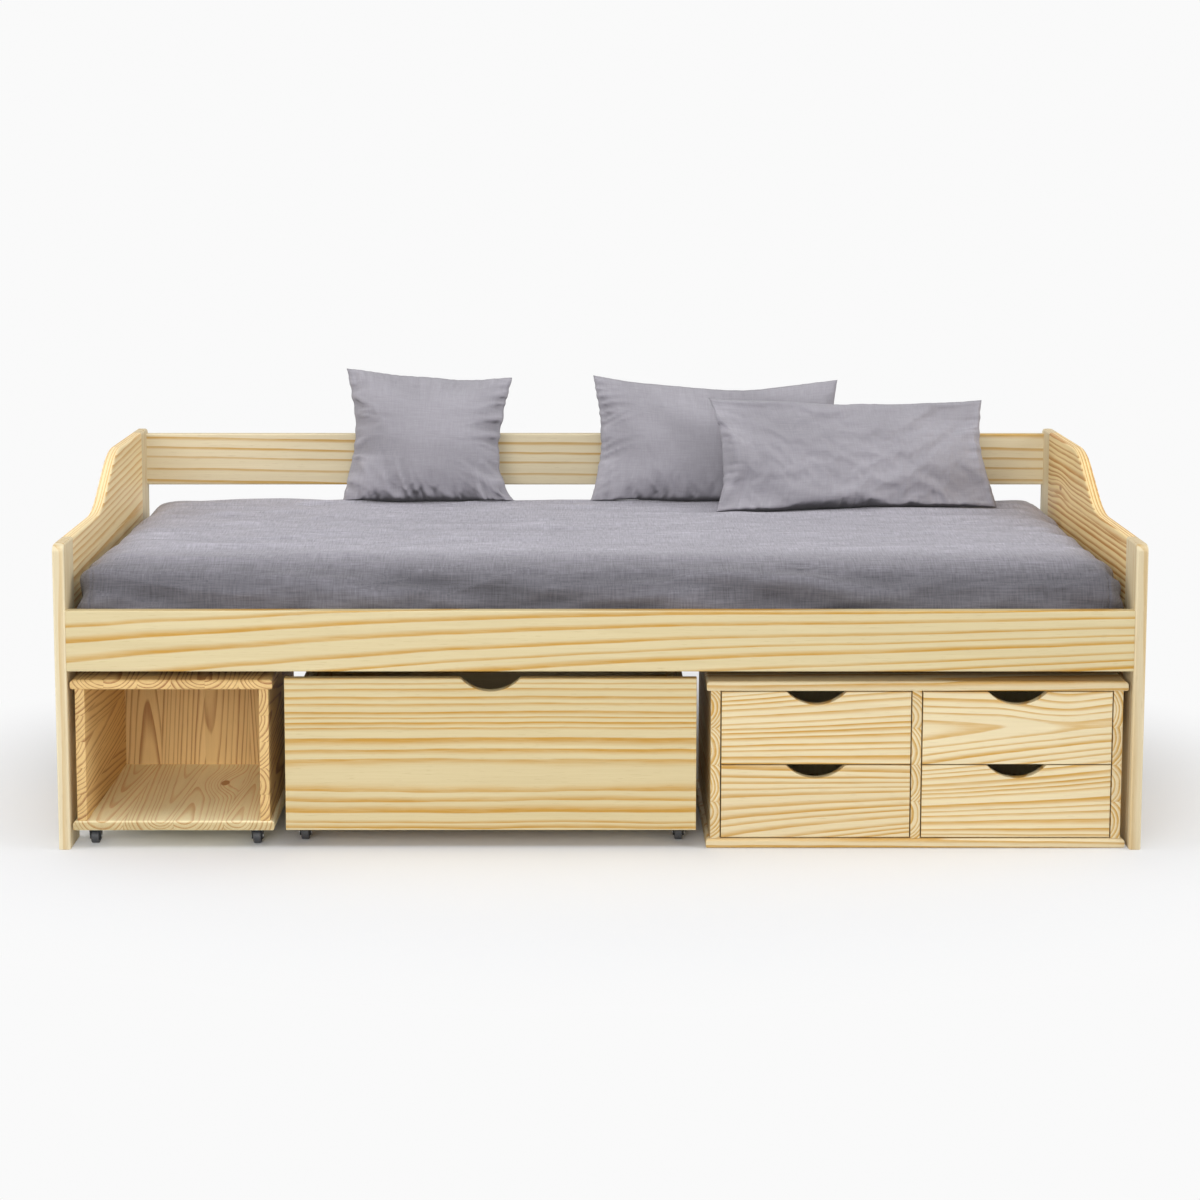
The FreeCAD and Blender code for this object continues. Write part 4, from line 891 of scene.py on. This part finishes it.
def sewnPlace(look, u, v):
    corners = look["corners"]
    pulls = look["pulls"]
    left, right = (1 - u) / 2, (1 + u) / 2
    low, top = (1 - v) / 2, (1 + v) / 2
    inward = {side: depth * drawnIn(v if side in ("left", "right") else u, at)
              for side, (depth, at) in pulls.items()}
    leftIn = corners["topLeft"][0] * top + corners["lowLeft"][0] * low + inward["left"]
    rightIn = corners["topRight"][0] * top + corners["lowRight"][0] * low + inward["right"]
    topIn = corners["topLeft"][1] * left + corners["topRight"][1] * right + inward["top"]
    lowIn = corners["lowLeft"][1] * left + corners["lowRight"][1] * right + inward["low"]
    x = u * look["width"] / 2 + leftIn * left - rightIn * right
    y = v * look["height"] / 2 + lowIn * low - topIn * top
    body = max(0.0, (1 - u * u) * (1 - v * v)) ** sewing["edgeFull"]
    lower = 1 - sewing["lowFuller"] * v
    return Vector((x, y, look["thick"] / 2 * sewing["startFull"] * body * lower))


def sewPanels(look):
    form = bmesh.new()
    columns = round(look["width"] / sewing["cell"])
    rows = round(look["height"] / sewing["cell"])
    bmesh.ops.create_grid(form, x_segments=columns, y_segments=rows, size=1.0)
    back = bmesh.ops.duplicate(form, geom=form.verts[:] + form.edges[:] + form.faces[:])["geom"]
    backVerts = {item for item in back if isinstance(item, bmesh.types.BMVert)}
    flat = {}
    for vert in form.verts:
        u, v = vert.co.x, vert.co.y
        flat[vert] = Vector((u * look["width"] / 2, v * look["height"] / 2, 0))
        vert.co = sewnPlace(look, u, v)
        if vert in backVerts:
            vert.co.z *= -1
    bmesh.ops.remove_doubles(form, verts=form.verts, dist=0.00001)
    bmesh.ops.recalc_face_normals(form, faces=form.faces)
    cutPlaces = [flat[vert] for vert in form.verts]
    seam = [index for index, place in enumerate(cutPlaces)
            if abs(place.x) > look["width"] / 2 - 0.0001 or abs(place.y) > look["height"] / 2 - 0.0001]
    mesh = bpy.data.meshes.new("sewn_panels")
    form.to_mesh(mesh)
    form.free()
    return mesh, cutPlaces, seam


def pucker(look, place, key):
    # short folds that fan out from the seams
    x, y = place.x, place.y
    halfWide, halfTall = look["width"] / 2, look["height"] / 2
    sides = {
        "left": (halfWide + x, y, halfTall),
        "right": (halfWide - x, y, halfTall),
        "low": (halfTall + y, x, halfWide),
        "top": (halfTall - y, x, halfWide),
    }
    total = 0.0
    for index, (side, depth) in enumerate(look["puckers"].items()):
        away, run, half = sides[side]
        own = key + index * 5.3
        fan = noise.noise(Vector((run * 9.0, own, 0.5))) * 0.8
        laid = run + away * fan
        fold = 1 - abs(noise.noise(Vector((laid * 52.0, away * 9.0, own)))) * 3.0
        reach = 0.018 + 0.06 * max(0.0, noise.noise(Vector((laid * 17.0, own, 2.5))) + 0.2)
        calm = max(0.0, min(1.0, (half - abs(run)) / 0.03)) * min(1.0, 0.25 + away / 0.012)
        total += depth * (max(0.0, fold) - 0.35) * math.exp(-away / reach) * calm
    soft = noise.noise(Vector((x * 7.0 + key, y * 12.0 + x * 3.0, key)))
    return total + soft * look["thick"] * sewing["softWave"]


def creaseSeam(mesh, seam):
    sharp = set(seam)
    layer = mesh.attributes.new("crease_edge", "FLOAT", "EDGE")
    for edge in mesh.edges:
        if all(index in sharp for index in edge.vertices):
            layer.data[edge.index].value = sewing["seamCrease"]


def makeCushion(name, look):
    mesh, cutPlaces, seam = sewPanels(look)
    startPlaces = [vert.co.copy() for vert in mesh.vertices]
    mesh = inflate(name, mesh, seam, {**sewing, **look})
    mesh.name = f"{name}_cover"
    # each panel stays on its own side of the seam
    for vert, place in zip(mesh.vertices, startPlaces):
        if place.z > 0.0001:
            vert.co.z = max(vert.co.z, place.z * sewing["leastFull"])
        elif place.z < -0.0001:
            vert.co.z = min(vert.co.z, place.z * sewing["leastFull"])
    thick = max(vert.co.z for vert in mesh.vertices) - min(vert.co.z for vert in mesh.vertices)
    print(name, "filled to", round(thick, 4))
    mesh.transform(Matrix.Diagonal((1, 1, look["thick"] / thick, 1)))
    puckers = [pucker(look, place, look["width"] * 40) for place in cutPlaces]
    moved = [vert.co + vert.normal * rise for vert, rise in zip(mesh.vertices, puckers)]
    for vert, place in zip(mesh.vertices, moved):
        vert.co = place
    # the puckers' depth is kept to paint shade in their hollows and highlight on their ridges
    storeValues(mesh, "foldShading", [rise / sewing["foldShadingFull"] for rise in puckers])
    layWeave(mesh, cutPlaces)
    creaseSeam(mesh, seam)
    # panel width, height and thickness become X, Z and -Y, then the cushion leans and turns
    stand = Matrix.Rotation(math.radians(90), 4, "X")
    lean = Matrix.Rotation(math.radians(-look["lean"]), 4, "X")
    turn = Matrix.Rotation(math.radians(look["turn"]), 4, "Z")
    low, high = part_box(name)
    middle = (low + high) / 2 + Vector((look["aside"], 0, -sewing["sink"]))
    mesh.transform(Matrix.Translation(middle) @ turn @ lean @ stand)
    # what would sink into the sheet lies flat on it
    for vert in mesh.vertices:
        under = sheetTree.ray_cast(vert.co + Vector((0, 0, 0.2)), Vector((0, 0, -1)))[0]
        if under:
            vert.co.z = max(vert.co.z, under.z + sewing["clear"])
    piece = newPiece(f"{name}_cover", mesh, "frame", cushionLinen, name)
    finer = piece.modifiers.new("finer", "SUBSURF")
    finer.levels = 1
    finer.render_levels = 1
    return piece


for cushionName, look in cushionLooks.items():
    cushion = makeCushion(cushionName, look)
    print(cushionName, "made:", len(cushion.data.vertices), "points")


# Floor, backdrop and light

stageLook = {
    "floorReach": 40.0,
    "floorDrop": 0.0005,
    "floorColour": (0.825, 0.84, 0.87, 1.0),
    "backdrop": (0.955, 0.955, 0.955, 1.0),
    "fadeSpread": (0.95, 1.2, 1.0),
    "fadeFrom": 0.85,
    "fadeTo": 1.6,
    "ambient": 0.24,
}


def seenRays(tree):
    # 1 where the camera looks, straight or in a reflection or through glass
    rays = addNode(tree, "ShaderNodeLightPath").outputs
    seen = calc(tree, "MAXIMUM", rays["Is Camera Ray"], rays["Is Glossy Ray"])
    return calc(tree, "MAXIMUM", seen, rays["Is Transmission Ray"])


def makeFloor(look):
    form = bmesh.new()
    bmesh.ops.create_grid(form, x_segments=1, y_segments=1, size=look["floorReach"])
    bmesh.ops.translate(form, vec=(0, 0, -look["floorDrop"]), verts=form.verts)
    mesh = bpy.data.meshes.new("studio_floor")
    form.to_mesh(mesh)
    form.free()
    floor = bpy.data.objects.new("studio_floor", mesh)
    scene.collection.objects.link(floor)
    made, tree, shader = newMaterial("studio_floor")
    shader.inputs["Base Color"].default_value = look["floorColour"]
    shader.inputs["Roughness"].default_value = 0.9
    shader.inputs["Specular IOR Level"].default_value = 0.1
    place = addNode(tree, "ShaderNodeTexCoord").outputs["Object"]
    place = addNode(tree, "ShaderNodeMapping", {"Vector": place, "Scale": look["fadeSpread"]}).outputs[0]
    away = addNode(tree, "ShaderNodeVectorMath", {0: place}, operation="LENGTH").outputs["Value"]
    far = ramp(tree, away, look["fadeFrom"], look["fadeTo"])
    light = addNode(tree, "ShaderNodeEmission", {"Color": look["backdrop"], "Strength": 1.0})
    mix = addNode(tree, "ShaderNodeMixShader", {0: calc(tree, "MULTIPLY", far, seenRays(tree))})
    tree.links.new(shader.outputs[0], mix.inputs[1])
    tree.links.new(light.outputs[0], mix.inputs[2])
    tree.links.new(mix.outputs[0], tree.nodes["Material Output"].inputs["Surface"])
    paint(floor, made)


def makeWorld(look):
    world = bpy.data.worlds.new("studio")
    scene.world = world
    world.use_nodes = True
    tree = world.node_tree
    sky = tree.nodes["Background"]
    sky.inputs["Color"].default_value = look["backdrop"]
    strength = calc(tree, "MULTIPLY_ADD", seenRays(tree), 1.0 - look["ambient"], look["ambient"])
    tree.links.new(strength, sky.inputs["Strength"])


lamps = {
    "overhead": {"place": (-0.3, -0.3, 3.6), "aim": (0, 0.1, 0.4), "size": (5.0, 3.0), "power": 70},
    "front": {"place": (-0.9, -5.0, 2.0), "aim": (0, -0.2, 0.3), "size": (3.6, 1.8), "power": 82},
    "low_front": {"place": (-1.0, -3.6, 0.8), "aim": (-0.7, -0.2, 0.2), "size": (2.4, 0.9), "power": 15},
    "left": {"place": (-4.2, -1.2, 2.4), "aim": (0.5, 0, 0.6), "size": (2.4, 2.4), "power": 56},
    "right": {"place": (4.2, -1.2, 2.4), "aim": (-0.5, 0, 0.6), "size": (2.4, 2.4), "power": 82},
}


def makeLamp(name, look):
    data = bpy.data.lights.new(name, "AREA")
    data.shape = "RECTANGLE"
    data.size, data.size_y = look["size"]
    data.energy = look["power"]
    lamp = bpy.data.objects.new(name, data)
    scene.collection.objects.link(lamp)
    lamp.location = look["place"]
    aim = Vector(look["aim"]) - Vector(look["place"])
    lamp.rotation_euler = aim.to_track_quat("-Z", "Y").to_euler()


makeFloor(stageLook)
makeWorld(stageLook)
for lampName, look in lamps.items():
    makeLamp(lampName, look)
print("stage and lamps set")


# Camera where the photograph was taken from

photoCamera = {
    "place": (-0.0588, -5.009, 1.3512),
    "sensor": 36,
    "lens": 74.03,
    "pitch": 6.716,
    "shiftX": 0.0261,
    "shiftY": -0.15,
}


def makeCamera(look):
    data = bpy.data.cameras.new("photo_camera")
    data.sensor_width = look["sensor"]
    data.sensor_fit = "HORIZONTAL"
    data.lens = look["lens"]
    data.shift_x = look["shiftX"]
    data.shift_y = look["shiftY"]
    camera = bpy.data.objects.new("photo_camera", data)
    scene.collection.objects.link(camera)
    camera.location = look["place"]
    camera.rotation_euler = (math.radians(90 - look["pitch"]), 0, 0)
    scene.camera = camera


makeCamera(photoCamera)
